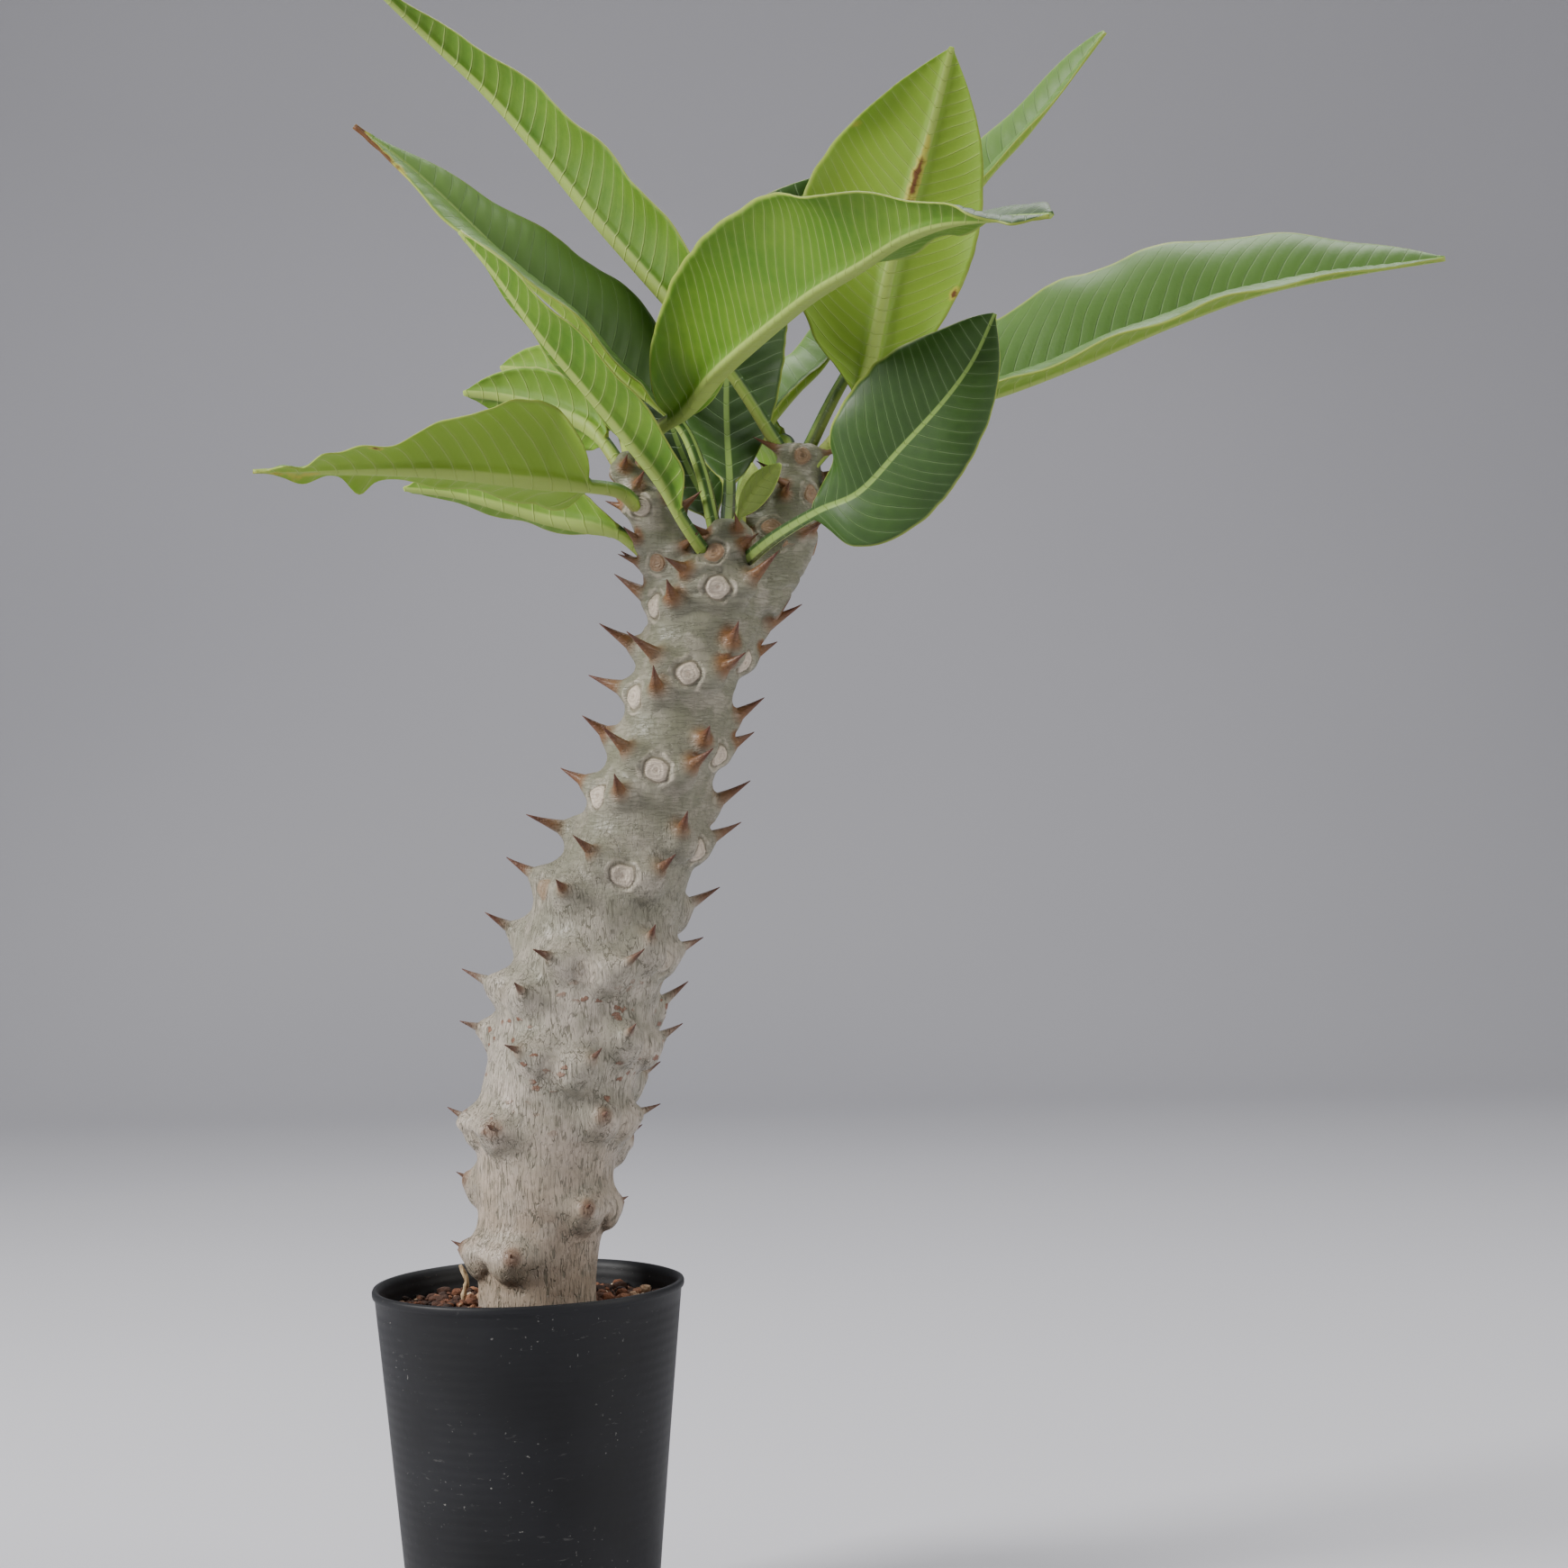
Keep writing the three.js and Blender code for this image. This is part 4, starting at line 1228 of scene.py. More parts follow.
    def scar_reading(self, point: Vector, outward: Vector) -> tuple[float, float, float, float]:
        """Reads the nearest scar.

        Args:
            point: A point of the bark, in metres.
            outward: The bark's normal there.

        Returns:
            The distance from its middle over its radius, how fresh it is, how brown it is, and the relief
            of its bud and of the arcs above it.
        """
        nearest, fresh, warm, extra = 4.0, 0.0, 0.0, 0.0
        for index, run, across in self.near(point, outward, self.scar_reach):
            scar = self.scars[index]
            lower = run + (1.6 if scar.is_stem else 0.6)
            uneven = 1 + 0.2 * wander(point, 2.4 * MM, index)
            distance = math.hypot(lower, across * 0.96) * uneven / scar.radius
            if scar.is_stem and scar.freshness > 0.5:
                far = math.hypot(run - 1.5, across)
                arcs = smoothstep(4.0, 5.5, far) * (1 - smoothstep(8.0, 11.0, far)) * smoothstep(1, 5, run)
                extra += 0.13 * arcs * math.sin(2 * math.pi * far / 1.5)
                extra -= 0.5 * math.exp(-(((run - 2.6) ** 2 + across**2) / 0.6))
            if distance < nearest:
                nearest, fresh = distance, scar.freshness
                warm = 1.0 if scatter(3 * index + 1) < (0.12 if scar.is_stem else 0.8) else 0.1
        return nearest, fresh, warm, extra

    def horny(self, spine: Spine, share: float) -> float:
        """Returns how far a spine is horn at a share of its length: old spines keep it at the tip."""
        start = self.horn_start.at(spine.foot.z)
        return smoothstep(start - 0.1, start + 0.22, share)

    def horn_reading(self, point: Vector) -> tuple[float, float]:
        """Returns how horny the bark is near a spine, and the share of the spine's length there."""
        _, index, _ = self.spine_tree.find(point)
        spine = self.spines[index // 3]
        offset = point / MM - spine.foot
        share = offset.dot(spine.way) / spine.length
        away = (offset - spine.way * offset.dot(spine.way)).length
        near = 1 - smoothstep(2.2, 4.4, away / spine.size)
        return self.horny(spine, share) * near * self.horn_strength.at(spine.foot.z), share

    def skin(self) -> bmesh.types.BMesh:
        """Returns the joined body of trunk, shoots and the woody feet of the spines."""
        shoots = (loft(limb.rings(*self.shoot_grid)) for limb in self.shoots.values())
        mesh = remeshed(joined([loft(self.trunk.rings(*self.trunk_grid)), *shoots]), self.cell)
        smooth_out(mesh, self.smoothing[0])
        self.raise_cushions(mesh)
        flares = (loft(spine.flare()) for spine in self.spines)
        mesh = remeshed(joined([mesh, *flares]), self.cell)
        smooth_out(mesh, self.smoothing[1])
        return mesh

    def raise_cushions(self, mesh: bmesh.types.BMesh) -> None:
        """Raises the bark into a cushion under each scar."""
        mesh.normal_update()
        for vert in mesh.verts:
            if vert.co.z < (self.ground + self.bare_foot) * MM:
                continue
            vert.co += vert.normal * self.swelling(vert.co, vert.normal) * MM

    def frames(self) -> None:
        """Prepares the frames of the scars and the search trees."""
        self.scar_frames = []
        self.scar_tree = KDTree(len(self.scars))
        for index, scar in enumerate(self.scars):
            centre = scar.limb.surface(scar.share, scar.angle) * MM
            normal = scar.limb.outward(scar.share, scar.angle)
            self.scar_frames.append((centre, normal, scar.limb.route.tangent(scar.share)))
            self.scar_tree.insert(centre, index)
        self.foot_tree = KDTree(len(self.spines))
        self.spine_tree = KDTree(3 * len(self.spines))
        for index, spine in enumerate(self.spines):
            self.foot_tree.insert(spine.foot * MM, index)
            for step in range(3):
                self.spine_tree.insert((spine.foot + 2 * step * spine.way) * MM, 3 * index + step)
        for tree in (self.scar_tree, self.foot_tree, self.spine_tree):
            tree.balance()

    def marked(self, mesh: bmesh.types.BMesh) -> None:
        """Gives the bark its scars, its fine relief and what its material reads."""
        layers = [mesh.verts.layers.float.new(name) for name in self.MARKS]
        mesh.normal_update()
        moves = []
        for vert in mesh.verts:
            distance, fresh, warm, extra = self.scar_reading(vert.co, vert.normal)
            horn, reach = self.horn_reading(vert.co)
            swell = self.swelling(vert.co, vert.normal) / 2.5
            for layer, value in zip(layers, (distance, fresh, warm, horn, reach, swell)):
                vert[layer] = value
            disc = 1 - smoothstep(0.82, 1.04, distance)
            dish = bell(distance, 0.45)
            rim = bell(distance - 1.14, 0.14)
            crust = bell(distance - 1.5, 0.25)
            relief = fresh * (0.5 * disc - 0.2 * dish - 0.2 * rim + 0.2 * crust) + extra
            low = 1 - smoothstep(180, 240, vert.co.z / MM)
            stretched = Vector((vert.co.x, vert.co.y, vert.co.z * 0.4))
            relief += (0.08 + 0.12 * low) * wander(stretched, 3.4 * MM) + 0.35 * wander(vert.co, 9 * MM, 4)
            relief += 0.1 * wander(vert.co, 1.7 * MM, 9)
            relief -= self.creasing(vert.co)
            moves.append(vert.normal * relief * (1 - 0.8 * horn) * MM)
        for vert, move in zip(mesh.verts, moves):
            vert.co += move

    def creasing(self, point: Vector) -> float:
        """Returns how deep the creased collar below the fork folds at a point, in millimetres."""
        height = point.z / MM
        low, high = self.collar
        if not low < height < high:
            return 0.0
        height += self.crease_wander * wander(point, 11 * MM, 12)
        return sum(depth * bell(height - level, self.crease_width) for level, depth in self.creases)

    def needle(self, spine: Spine) -> bmesh.types.BMesh:
        """Returns the sharp part of a spine, with what the bark's material reads."""
        mesh = loft(spine.needle())
        ring = mesh.verts.layers.int["ring"]
        layers = [mesh.verts.layers.float.new(name) for name in self.MARKS]
        strength = self.horn_strength.at(spine.foot.z)
        for vert in mesh.verts:
            share = Spine.NEEDLE[vert[ring]][0]
            horn = self.horny(spine, share) * lerp(strength, 1.0, share**3)
            for layer, value in zip(layers, (9.0, 0.0, 0.0, horn, share, 0.0)):
                vert[layer] = value
        return mesh

    def build(self) -> list[bpy.types.Object]:
        """Builds the bark and the spines and returns their pieces."""
        self.frames()
        finish = Bark().material()
        mesh = self.skin()
        self.marked(mesh)
        needles = joined(map(self.needle, self.spines))
        bodies = {"stem_bark": mesh, "stem_spines": needles}
        return [placed(body, name, "stem", Slot.BARK, finish) for name, body in bodies.items()]


# Leaves


@dataclass(frozen=True)
class Mark:
    """A brown or yellowed place on a blade."""

    share: float
    across: float
    length: float
    width: float
    strength: float


@dataclass(frozen=True)
class LeafSkin:
    """Leathery blade: dark glossy above, light yellow-green below, with pale veins."""

    name: str = "leaf"
    dark: Colour = linear(30, 58, 14)
    deep: Colour = linear(62, 98, 30)
    # The lighter green that tone lays over the upper side: the leaf's own lightness, and painted sheen
    # towards the tip where pale is set.
    fresh: Colour = linear(106, 142, 66)
    light: Colour = linear(72, 116, 16)
    bright: Colour = linear(128, 160, 48)
    vein_above: Colour = linear(118, 146, 92)
    vein_below: Colour = linear(172, 190, 110)
    rib_above: Colour = linear(136, 166, 82)
    rib_below: Colour = linear(156, 176, 86)
    margin: Colour = linear(158, 170, 76)
    blush: Colour = linear(120, 62, 70)
    yellow: Colour = linear(178, 168, 66)
    brown: Colour = linear(104, 66, 34)

    def material(self) -> bpy.types.Material:
        """Builds the blade's material."""
        shader = Shader(self.name)
        under = shader.step(shader.read("under"), 0.25, 0.75)
        edge = shader.read("edge")
        rib = shader.read("rib")
        tone = shader.read("tone")
        dry = shader.read("dry")
        cloud = shader.noise(60, 4)
        patch = shader.noise(420, 4)
        grain = shader.noise(1500, 2)
        vein = shader.read("vein") + (shader.noise(160, 2) - 0.5) * 0.16
        gap = abs((vein + 0.5).fraction() - 0.5) * 2
        line = shader.fall(gap, 0.03, 0.13) * shader.fall(edge, 0.84, 0.99)
        halo = shader.fall(gap, 0.1, 0.6)
        # tone is each leaf's own lightness, plus a painted sheen towards the tip where the leaf's pale is
        # set; it lightens both sides.
        above = shader.layered(
            self.dark,
            (self.deep, (cloud * 0.7 + patch * 0.5 + tone - 0.1).held()),
            (self.fresh, (tone * 0.75).held()),
            (self.vein_above, line * 0.42 + halo * 0.07),
            (self.rib_above, shader.fall(rib, 0.3, 0.5)),
        )
        below = shader.layered(
            self.light,
            (self.bright, (cloud * 0.8 + patch * 0.3 + tone - 0.1).held()),
            (self.vein_below, line * 0.4 + halo * 0.08),
            (self.rib_below, shader.fall(rib, 0.6, 0.95) * 0.9),
        )
        spoiled = (dry + (patch - 0.5) * 0.9 * shader.step(dry, 0.02, 0.3)).held()
        colour = shader.layered(
            above,
            (below, under),
            (self.margin, shader.step(edge, 0.955, 0.995) * 0.75),
            (self.blush, shader.read("blush")),
            (self.yellow, shader.step(spoiled, 0.2, 0.5) * 0.8),
            (self.brown, shader.step(spoiled, 0.5, 0.85)),
        )
        relief = (under * 2 - 1) * line * 0.7 + grain * 0.1 + patch * 0.22
        roughness = 0.47 + 0.07 * under + 0.12 * patch + 0.2 * shader.step(spoiled, 0.4, 0.9)
        return shader.finish(
            {
                "Base Color": colour,
                "Roughness": roughness,
                "Coat Weight": (1 - under) * 0.15,
                "Coat Roughness": 0.34,
                "Specular IOR Level": 0.34,
                "Subsurface Weight": 0.22,
                "Subsurface Radius": (0.6, 1.0, 0.2),
                "Subsurface Scale": 0.0012,
                "Normal": shader.bump(relief, 0.3, 0.8),
            }
        )


@dataclass(frozen=True)
class Leaf:
    """One leaf: its seat, the route of its midrib and the shape of its blade.

    The seat is a shoot, a share of it and an angle. A pair of values is for the left and the right half of
    the blade. Roll and fold, in degrees, are read at even steps along the midrib. A lobe has a share of the
    midrib, a half (0 or 1), what it adds to the half's width and its length as a share.
    """

    name: str
    seat: tuple[Shoot, float, float]
    route: Table
    stalk: float
    width: tuple[float, float]
    roll: Sequence[float]
    fold: Sequence[float]
    widest: tuple[float, float] = (0.42, 0.42)
    full: float = 1.6
    wave: float = 0.7
    waves: int = 4
    vein: float = 4.6
    tone: float = 0.3
    # Painted sheen: lightness added to tone towards the tip, with the square of the share.
    pale: float = 0.0
    blush: float = 0.25
    ragged: float = 0.0
    marks: Sequence[Mark] = ()
    lobes: Table = ()
    is_young: bool = False

    THICK: ClassVar[float] = 0.75
    MARGIN_THICK: ClassVar[float] = 0.55
    RIB_DEPTH: ClassVar[tuple[float, float]] = (3.0, 1.0)
    RIB_WIDTH: ClassVar[tuple[float, float]] = (2.2, 0.9)
    RIB_SWELL: ClassVar[float] = 2.1
    CURL: ClassVar[float] = 14.0
    STALK_HALF: ClassVar[float] = 1.7
    TIP_HALF: ClassVar[float] = 0.4
    SUNK: ClassVar[float] = 2.2
    OPENING: ClassVar[float] = 8.0
    FULL_WIDTH: ClassVar[float] = 10.0
    QUILT: ClassVar[float] = 0.13
    ROW: ClassVar[float] = 0.95
    COLUMN: ClassVar[float] = 2.6
    READINGS: ClassVar[Sequence[str]] = ("under", "edge", "rib", "vein", "tone", "dry", "blush")

    def outline(self, blade: float, hand: int) -> float:
        """Returns a half's width at a share of the blade over its greatest."""
        if blade <= 0 or blade >= 1:
            return 0.0
        widest = self.widest[hand]
        rise, fall = self.full * widest, self.full * (1 - widest)
        return blade**rise * (1 - blade) ** fall / (widest**rise * (1 - widest) ** fall)

    def seated(self, stem: Stem) -> Route:
        """Returns the midrib's curve from inside the shoot to the tip."""
        shoot, share, angle = self.seat
        return Route([stem.shoots[shoot].surface(share, angle, -self.SUNK), *self.route])

    def stations(self, midrib: Route, rows: int) -> list[Frame]:
        """Frames the midrib at even steps.

        Args:
            midrib: The midrib's curve.
            rows: How many steps there are.

        Returns:
            For each step its share of the length, the midrib's point, the blade's normal and its right.
        """
        frames = []
        for row in range(rows + 1):
            share = row / rows
            at = midrib.by_length(share)
            tangent = midrib.tangent(at)
            back = (BACK - tangent * tangent.y).normalized()
            square = back.cross(tangent)
            roll = math.radians(stepped(self.roll, share))
            normal = back * math.cos(roll) + square * math.sin(roll)
            frames.append((share, midrib.point(at), normal, tangent.cross(normal)))
        return frames

    def dryness(self, share: float, across: float) -> float:
        """Returns how spoiled the blade is at a place."""
        total = 0.0
        for mark in self.marks:
            run = (share - mark.share) / mark.length
            side = (across - mark.across) / mark.width
            total += mark.strength * math.exp(-(run**2) - side**2)
        return min(total, 1.5)

    def blade_point(
        self, frame: Frame, across: float, is_under: bool, length: float, seed: int
    ) -> tuple[Vector, float, float]:
        """Places one point of the blade.

        Args:
            frame: The midrib's frame there.
            across: From -1 at the left margin to 1 at the right one.
            is_under: Whether the point is on the underside.
            length: The midrib's length.
            seed: The leaf's number.

        Returns:
            The point in millimetres, its place among the veins and its distance from the rib.
        """
        share, centre, normal, right = frame
        blade = (share - self.stalk) / (1 - self.stalk)
        side = -1 if across < 0 else 1
        hand = 0 if across < 0 else 1
        size = min(1.0, self.width[0] / self.FULL_WIDTH)
        least = size * lerp(self.STALK_HALF, self.TIP_HALF, share)
        half = max(least, self.width[hand] * self.outline(blade, hand))
        if half > 1.5 * least:
            half *= 1 + 0.022 * noise.noise(Vector((share * 26, seed + hand * 5, 0)))
            torn = max(0.0, noise.noise(Vector((share * 17, 3 * seed + hand, 7))))
            half *= 1 - self.ragged * smoothstep(0.55, 0.8, share) * torn
        for where, lobe_hand, grown, length_share in self.lobes:
            if lobe_hand == hand:
                half += grown * bell(share - where, length_share)
        half = max(half, least)
        reach = abs(across) ** 1.12 * half
        spread = (reach / half) ** 2 if half > 2 * least else 0.0
        opened = clamp(blade * self.OPENING)
        slope = math.radians(stepped(self.fold, share) * opened - self.CURL * spread)
        phase = self.waves * max(blade, 0) + scatter(seed + side)
        ripple = self.wave * spread * math.sin(2 * math.pi * phase) * math.sin(math.pi * clamp(blade))
        run = share * length
        place = (run - 0.5 * reach - 0.012 * reach**2) / self.vein
        place += 0.22 * noise.noise(Vector((run / 9, seed, side)))
        quilt = self.QUILT * math.cos(2 * math.pi * place) * smoothstep(0.8, 3.5, reach) * (1 - spread**3)
        point = centre + right * side * reach * math.cos(slope)
        point += normal * (reach * math.sin(slope) + ripple - quilt * size * opened)
        if is_under:
            swell = math.sqrt(max(0.0, 1 - (reach / (size * self.RIB_SWELL)) ** 2))
            rib = size * lerp(*self.RIB_DEPTH, share) * swell
            sheet = self.THICK * lerp(1.0, self.MARGIN_THICK, spread)
            point += (right * side * math.sin(slope) - normal * math.cos(slope)) * max(sheet, rib)
        return point, place, reach / (size * lerp(*self.RIB_WIDTH, share))

    def build(self, stem: Stem, number: int, finish: bpy.types.Material) -> bpy.types.Object:
        """Builds the leaf.

        Args:
            stem: The stem that carries it.
            number: The leaf's number, which varies its waves.
            finish: The blade's material.

        Returns:
            The leaf's piece.
        """
        midrib = self.seated(stem)
        rows = max(24, round(midrib.length / self.ROW))
        columns = max(14, 2 * round(sum(self.width) / self.COLUMN))
        frames = self.stations(midrib, rows)
        mesh = bmesh.new()
        row_layer = mesh.verts.layers.int.new("row")
        column_layer = mesh.verts.layers.int.new("column")
        layers = [mesh.verts.layers.float.new(name) for name in self.READINGS]
        bmesh.ops.create_grid(mesh, x_segments=columns, y_segments=rows, size=0.5)
        for vert in mesh.verts:
            vert[column_layer] = round((vert.co.x + 0.5) * columns)
            vert[row_layer] = round((vert.co.y + 0.5) * rows)
        extruded = bmesh.ops.extrude_face_region(mesh, geom=list(mesh.faces))["geom"]
        below = {item for item in extruded if isinstance(item, bmesh.types.BMVert)}
        for vert in mesh.verts:
            across = 2 * vert[column_layer] / columns - 1
            frame = frames[vert[row_layer]]
            is_under = vert in below
            point, place, rib = self.blade_point(frame, across, is_under, midrib.length, number)
            vert.co = point * MM
            share = frame[0]
            edge = abs(across) if share > self.stalk else 0.0
            # The leaf's own lightness, plus the painted sheen towards the tip.
            tone = self.tone - 0.3 + self.pale * share * share
            blush = self.blush * (1 - smoothstep(0.02, self.stalk + 0.05, share)) * (0.5 + 0.5 * across)
            readings = (float(is_under), edge, rib, place, tone, self.dryness(share, across), blush)
            for layer, value in zip(layers, readings):
                vert[layer] = value
        bmesh.ops.recalc_face_normals(mesh, faces=mesh.faces)
        slot = Slot.YOUNG if self.is_young else Slot.LEAF
        return placed(mesh, f"{self.name}_blade", self.name, slot, finish)


@dataclass(frozen=True)
class Foliage:
    """All the leaves of the plant."""

    leaves: Sequence[Leaf] = (
        Leaf(
            "leaf_long_left", (Shoot.RIGHT, 0.93, -62),
            ((56, 0, 315), (40, 3, 334), (22, 8, 356), (8, 10, 374), (-5, 9, 389), (-18, 5, 401),
             (-34, -6, 415)),
            0.18, (15.5, 15), (68, 70, 70), (48, 46, 36),
            widest=(0.34, 0.34), full=1.7, wave=0.8, waves=5, vein=4.4, tone=0.1, blush=0.7,
        ),
        Leaf(
            "leaf_dry_tip", (Shoot.MIDDLE, 0.8, -105),
            ((48, -5, 291), (43, -3, 302), (31, -4, 312), (18, -6, 326), (2, -8, 341), (-21, -10, 364),
             (-35, -12, 375)),
            0.22, (15, 21), (116, 116, 140), (40, 38, 18),
            # pale paints a sheen over the outer part of this blade.
            widest=(0.36, 0.29), full=2, tone=0.2, pale=2.2,
            marks=(Mark(1.01, 0, 0.035, 3, 1.6), Mark(0.93, -1, 0.06, 0.3, 0.9)),
        ),
        Leaf(
            "leaf_left_keel", (Shoot.MIDDLE, 0.45, -62),
            ((44, -17, 276), (40, -22, 283), (32, -30, 293), (22, -36, 305), (12, -40, 317), (2, -42, 331),
             (-6, -42, 341)),
            0.16, (13.5, 11), (72, 72), (28, 26, 20), wave=0.6, vein=3.8, tone=0.1,
        ),
        Leaf(
            "leaf_front", (Shoot.LEFT, 0.86, 30),
            ((37, -15, 298), (44, -23, 301), (54, -36, 308), (64, -52, 313), (75, -68, 318), (85, -82, 321),
             (94, -94, 324), (103, -104, 325), (112, -112, 324), (123, -122, 322)),
            0.13, (22.5, 25.5), (-66, -63, -62, -66, -132), (60, 58, 54, 40, 18),
            widest=(0.46, 0.38), full=1.8, wave=0, vein=3.1, tone=0.1, blush=0.5,
            lobes=(
                (0.8, 1, -6.0, 0.075), (0.91, 1, 3.0, 0.04), (0.965, 1, 3.4, 0.018), (0.97, 0, 2.6, 0.025),
            ),
        ),
        Leaf(
            "leaf_upright", (Shoot.RIGHT, 0.84, 66),
            ((84, 10, 302), (90, 20, 316), (93, 24, 328), (97, 27, 345), (103, 28, 364), (108, 26, 379),
             (114, 18, 400)),
            0.2, (20, 27), (0, 0), (14, 12, 10), widest=(0.5, 0.5), full=2, wave=1, vein=3.5, tone=1.1,
            marks=(
                Mark(0.72, 0, 0.09, 0.08, 0.9), Mark(0.8, 0.93, 0.02, 0.06, 0.5),
                Mark(0.5, -0.95, 0.02, 0.06, 1),
            ),
        ),
        Leaf(
            "leaf_front_right", (Shoot.MIDDLE, 0.4, 62),
            ((65, -20, 270), (76, -30, 275), (85, -36, 278), (95, -44, 287), (106, -50, 298),
             (112, -52, 306), (117, -54, 316)),
            0.3, (18, 15.5), (180, 180), (14, 12, 10), widest=(0.52, 0.38), wave=0.8, waves=3, vein=3.0,
        ),
        Leaf(
            "leaf_far_right", (Shoot.RIGHT, 0.64, 88),
            ((88, 2, 296), (104, 1, 304), (123, 0, 308.5), (142, -4, 314.5), (164, -8, 322.5),
             (186, -12, 329), (207, -16, 332), (229, -20, 334)),
            0.16, (25, 21), (-122, -122), (42, 42, 32), wave=0.9, waves=5, vein=4.3, tone=0.7,
        ),
        Leaf(
            "leaf_tall_right", (Shoot.RIGHT, 0.95, 165),
            ((82, 22, 314), (94, 38, 334), (110, 50, 357), (125, 52, 376), (135, 50, 386), (156, 40, 410)),
            0.22, (10.5, 10), (-118, -118), (42, 42, 30), widest=(0.58, 0.58), full=1.5, wave=0.6, tone=1.2,
        ),
        Leaf(
            "leaf_centre", (Shoot.MIDDLE, 0.97, -170),
            ((54.5, 0, 286), (54, 7, 300), (54, 12, 312), (55, 18, 327), (59, 24, 343), (67, 27, 356),
             (80, 28, 370)),
            0.12, (15, 15), (170, 168, 175), (16, 12, 10), widest=(0.46, 0.46),
        ),
        Leaf(
            "leaf_low_left", (Shoot.LEFT, 0.62, -45),
            ((28, -15, 283.5), (21, -18, 284.5), (9, -22, 285), (-12, -26, 287), (-33, -28, 288),
             (-58, -30, 288)),
            0.19, (21.5, 15), (50, 60, 60), (32, 34, -20),
            widest=(0.2, 0.2), full=3.4, wave=0.9, tone=1.2, blush=0.6, ragged=0.2,
            marks=(Mark(0.95, 0.4, 0.12, 0.8, 0.5), Mark(0.7, -0.9, 0.02, 0.1, 1)),
            lobes=(
                (0.83, 0, 7.5, 0.04), (0.74, 0, 5.5, 0.06), (0.75, 1, 5.0, 0.03), (0.88, 1, 3.5, 0.05),
                (0.92, 0, 5.5, 0.03),
            ),
        ),
        Leaf(
            "leaf_low_left_under", (Shoot.LEFT, 0.34, -90),
            ((27, -3, 275), (18, -1, 277), (8, 2, 279.5), (-1, 4, 282.5), (-14, 8, 286.5), (-28, 12, 289)),
            0.14, (12, 10), (60, 60), (36, 34, 26), wave=0.6, waves=3,
        ),
        Leaf(
            "leaf_left_short", (Shoot.LEFT, 0.84, -105),
            ((22, 2, 300), (11, 8, 307), (-3, 14, 312), (-13, 18, 314)),
            0.2, (10, 10), (40, 40), (25, 25, 20), wave=0.5, waves=2, blush=0.6,
        ),
        Leaf(
            "leaf_left_behind", (Shoot.LEFT, 0.94, 160),
            ((27, 10, 304), (18, 26, 315), (6, 42, 323), (-7, 54, 327)),
            0.2, (9, 10), (35, 35), (20, 20, 14), widest=(0.5, 0.5), wave=0.5, waves=3,
        ),
        Leaf(
            "leaf_middle_behind", (Shoot.MIDDLE, 0.55, -150),
            ((49, 5, 281), (44, 12, 292), (40, 18, 303), (37, 25, 315), (34, 34, 331)),
            0.16, (11, 11), (180, 180), (14, 12, 10), widest=(0.5, 0.5), wave=0.5, waves=3,
        ),
        Leaf(
            "leaf_back_folded", (Shoot.MIDDLE, 0.8, 150),
            ((57, 8, 287), (59, 18, 298), (64, 26, 306), (71, 33, 315), (79, 40, 324), (87, 48, 340),
             (93, 54, 356)),
            0.22, (11, 10), (-125, -125), (42, 42, 30), widest=(0.45, 0.45), wave=0.4, waves=3, tone=1.3,
        ),
        Leaf(
            "leaf_back_right", (Shoot.RIGHT, 0.9, 112),
            ((83, 17, 302), (93, 36, 310), (105, 57, 318), (117, 78, 322), (127, 94, 319)),
            0.2, (16, 16), (-70, -70), (22, 20, 16), widest=(0.45, 0.45),
        ),
        Leaf(
            "leaf_back_left", (Shoot.RIGHT, 0.9, -145),
            ((70, 24, 300), (64, 46, 306), (57, 68, 311), (49, 90, 313), (42, 106, 308)),
            0.2, (15, 15), (60, 60), (22, 20, 16), widest=(0.45, 0.45),
        ),
        Leaf(
            "leaf_young", (Shoot.MIDDLE, 0.86, 35),
            ((58.5, -14, 278.5), (62.5, -16.5, 283.5), (67.5, -18.5, 288)),
            0.2, (3.6, 3.6), (20, 20), (26, 22, 16),
            widest=(0.5, 0.5), wave=0.1, waves=2, vein=2.2, tone=1.0, blush=0, is_young=True,
        ),
        Leaf(
            "leaf_bud", (Shoot.MIDDLE, 0.97, 70), ((58, -7, 281.5), (60, -5, 286), (60.5, -2.5, 290.5)),
            0.2, (2.6, 2.6), (20, 20), (24, 22, 16),
            widest=(0.5, 0.5), wave=0.1, waves=2, vein=2.0, tone=1.0, blush=0, is_young=True,
        ),
    )

    def build(self, stem: Stem) -> list[bpy.types.Object]:
        """Builds every leaf on the stem and returns the pieces."""
        grown = LeafSkin().material()
        young = LeafSkin(
            "young leaf", dark=linear(96, 128, 48), deep=linear(130, 152, 70), light=linear(120, 146, 56),
            bright=linear(146, 166, 80), rib_above=linear(170, 184, 110),
        ).material()
        return [
            leaf.build(stem, number, young if leaf.is_young else grown)
            for number, leaf in enumerate(self.leaves)
        ]


# Studio


@dataclass(frozen=True)
class Lamp:
    """A soft square light that looks at the plant."""

    name: str
    at: tuple[float, float, float]
    size: float
    watts: float
    tint: Colour = (1.0, 1.0, 1.0)

    def build(self, aim: Vector) -> None:
        """Puts the lamp up and turns it to what it lights."""
        data = bpy.data.lights.new(self.name, "AREA")
        data.shape, data.size, data.energy, data.color = "SQUARE", self.size, self.watts, self.tint
        lamp = added(self.name, data)
        lamp.location = self.at
        lamp.rotation_euler = (aim - lamp.location).to_track_quat("-Z", "Y").to_euler()


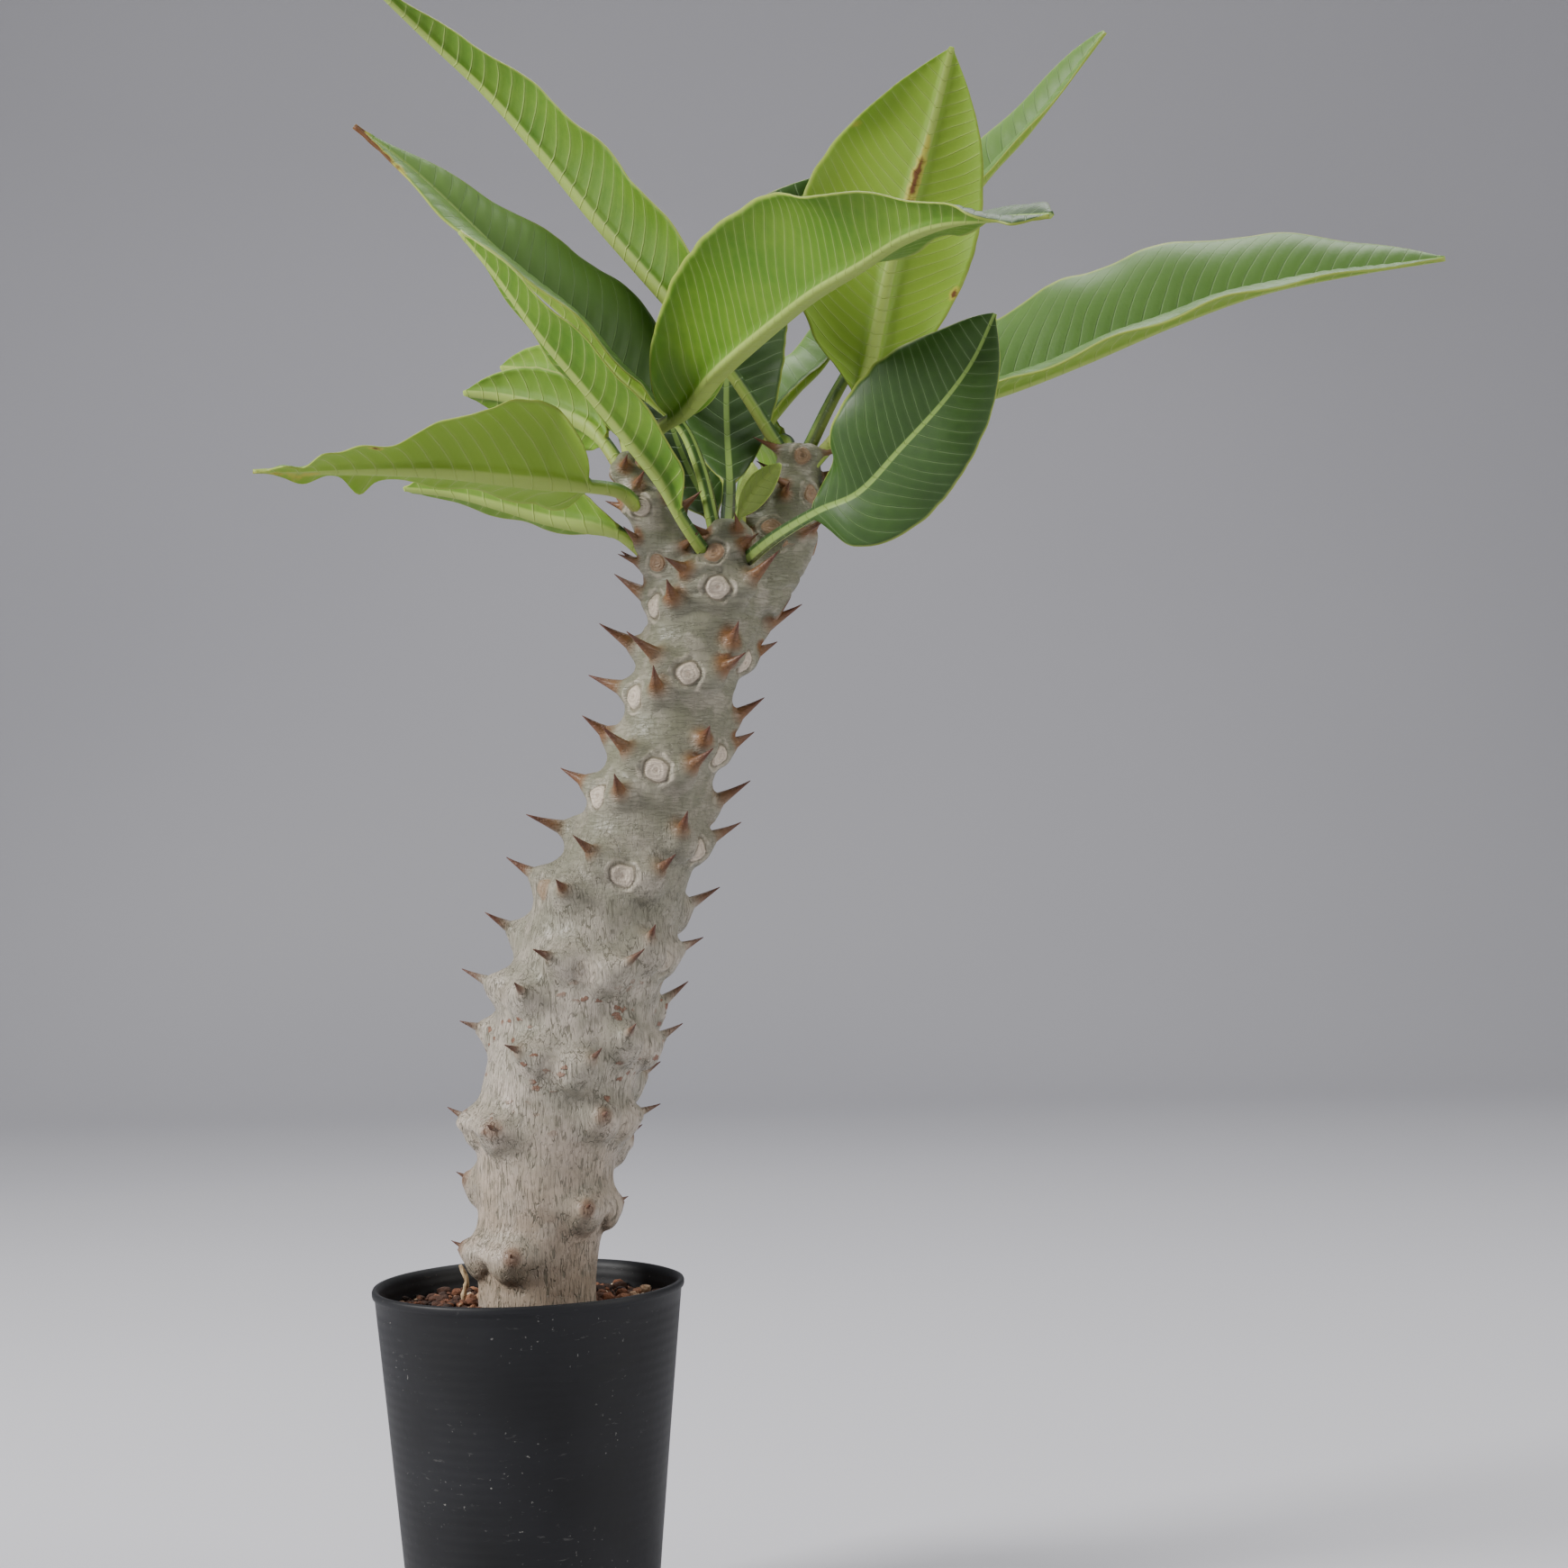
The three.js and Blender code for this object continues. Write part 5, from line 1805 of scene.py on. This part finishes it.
@dataclass(frozen=True)
class Studio:
    """The pale floor that curves up into a backdrop, the lamps and the camera."""

    eye: tuple[float, float, float] = (0.0662, -0.650, 0.193)
    pitch: float = 1.6
    roll: float = 1.4
    lens: float = 60.2
    aim: tuple[float, float, float] = (0.04, 0, 0.22)
    grey: Colour = linear(204, 203, 208)
    shade: Colour = linear(186, 186, 193)
    sky: Colour = (0.62, 0.64, 0.68)
    sky_strength: float = 0.27
    width: float = 6.0
    front: float = -1.5
    flat: float = 2.9
    bend: float = 0.6
    wall: float = 1.8
    lamps: Sequence[Lamp] = (
        Lamp("key", (-1.1, -0.5, 0.85), 0.4, 30.0, (1.0, 0.985, 0.96)),
        Lamp("fill", (1.25, -0.45, 0.65), 0.7, 9.5, (1.0, 0.97, 0.92)),
        Lamp("top", (0.2, 0.35, 1.35), 0.8, 14.0),
    )

    def cove(self) -> None:
        """Builds the floor with its backdrop as one smooth sweep."""
        mesh = bmesh.new()
        bmesh.ops.create_grid(mesh, x_segments=24, y_segments=90, size=0.5)
        arc = self.bend * math.pi / 2
        for vert in mesh.verts:
            run = (vert.co.y + 0.5) * (self.flat + arc + self.wall)
            turn = clamp((run - self.flat) / self.bend, 0.0, math.pi / 2)
            depth = self.front + min(run, self.flat) + self.bend * math.sin(turn)
            height = self.bend * (1 - math.cos(turn)) + max(0.0, run - self.flat - arc)
            vert.co = (vert.co.x * self.width, depth, height)
        shader = Shader("backdrop")
        colour = shader.mix(self.grey, self.shade, shader.noise(1.2, 2))
        data = mesh_data(mesh, "cove")
        data.materials.append(shader.finish({"Base Color": colour, "Roughness": 0.9}))
        added("cove", data)

    def camera(self) -> None:
        """Sets the camera where the photograph was taken from."""
        pitch, roll = math.radians(self.pitch), math.radians(self.roll)
        ahead = Vector((0, math.cos(pitch), math.sin(pitch)))
        level = Vector((1, 0, 0))
        upright = level.cross(ahead)
        right = level * math.cos(roll) - upright * math.sin(roll)
        above = level * math.sin(roll) + upright * math.cos(roll)
        data = bpy.data.cameras.new("camera")
        data.lens, data.sensor_width, data.clip_start = self.lens, 36.0, 0.01
        camera = added("camera", data)
        frame = Matrix((right, above, -ahead)).transposed().to_4x4()
        camera.matrix_world = Matrix.Translation(self.eye) @ frame
        bpy.context.scene.camera = camera

    def build(self) -> None:
        """Builds the whole studio."""
        self.cove()
        for lamp in self.lamps:
            lamp.build(Vector(self.aim))
        world = bpy.data.worlds.new("studio")
        world.use_nodes = True
        backdrop = world.node_tree.nodes["Background"]
        backdrop.inputs["Color"].default_value = (*self.sky, 1)
        backdrop.inputs["Strength"].default_value = self.sky_strength
        bpy.context.scene.world = world
        self.camera()


def main() -> None:
    """Builds the plant around the frame, and the studio around the plant."""
    logging.basicConfig(level=logging.INFO, format="%(message)s")
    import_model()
    Studio().build()
    pot = Pot()
    pot.build()
    stem = Stem()
    foot = stem.axis[1]
    Soil(pot, foot[1], foot[3]).build()
    DryRoot().build()
    stem.build()
    Foliage().build(stem)


if __name__ == "__main__":
    main()
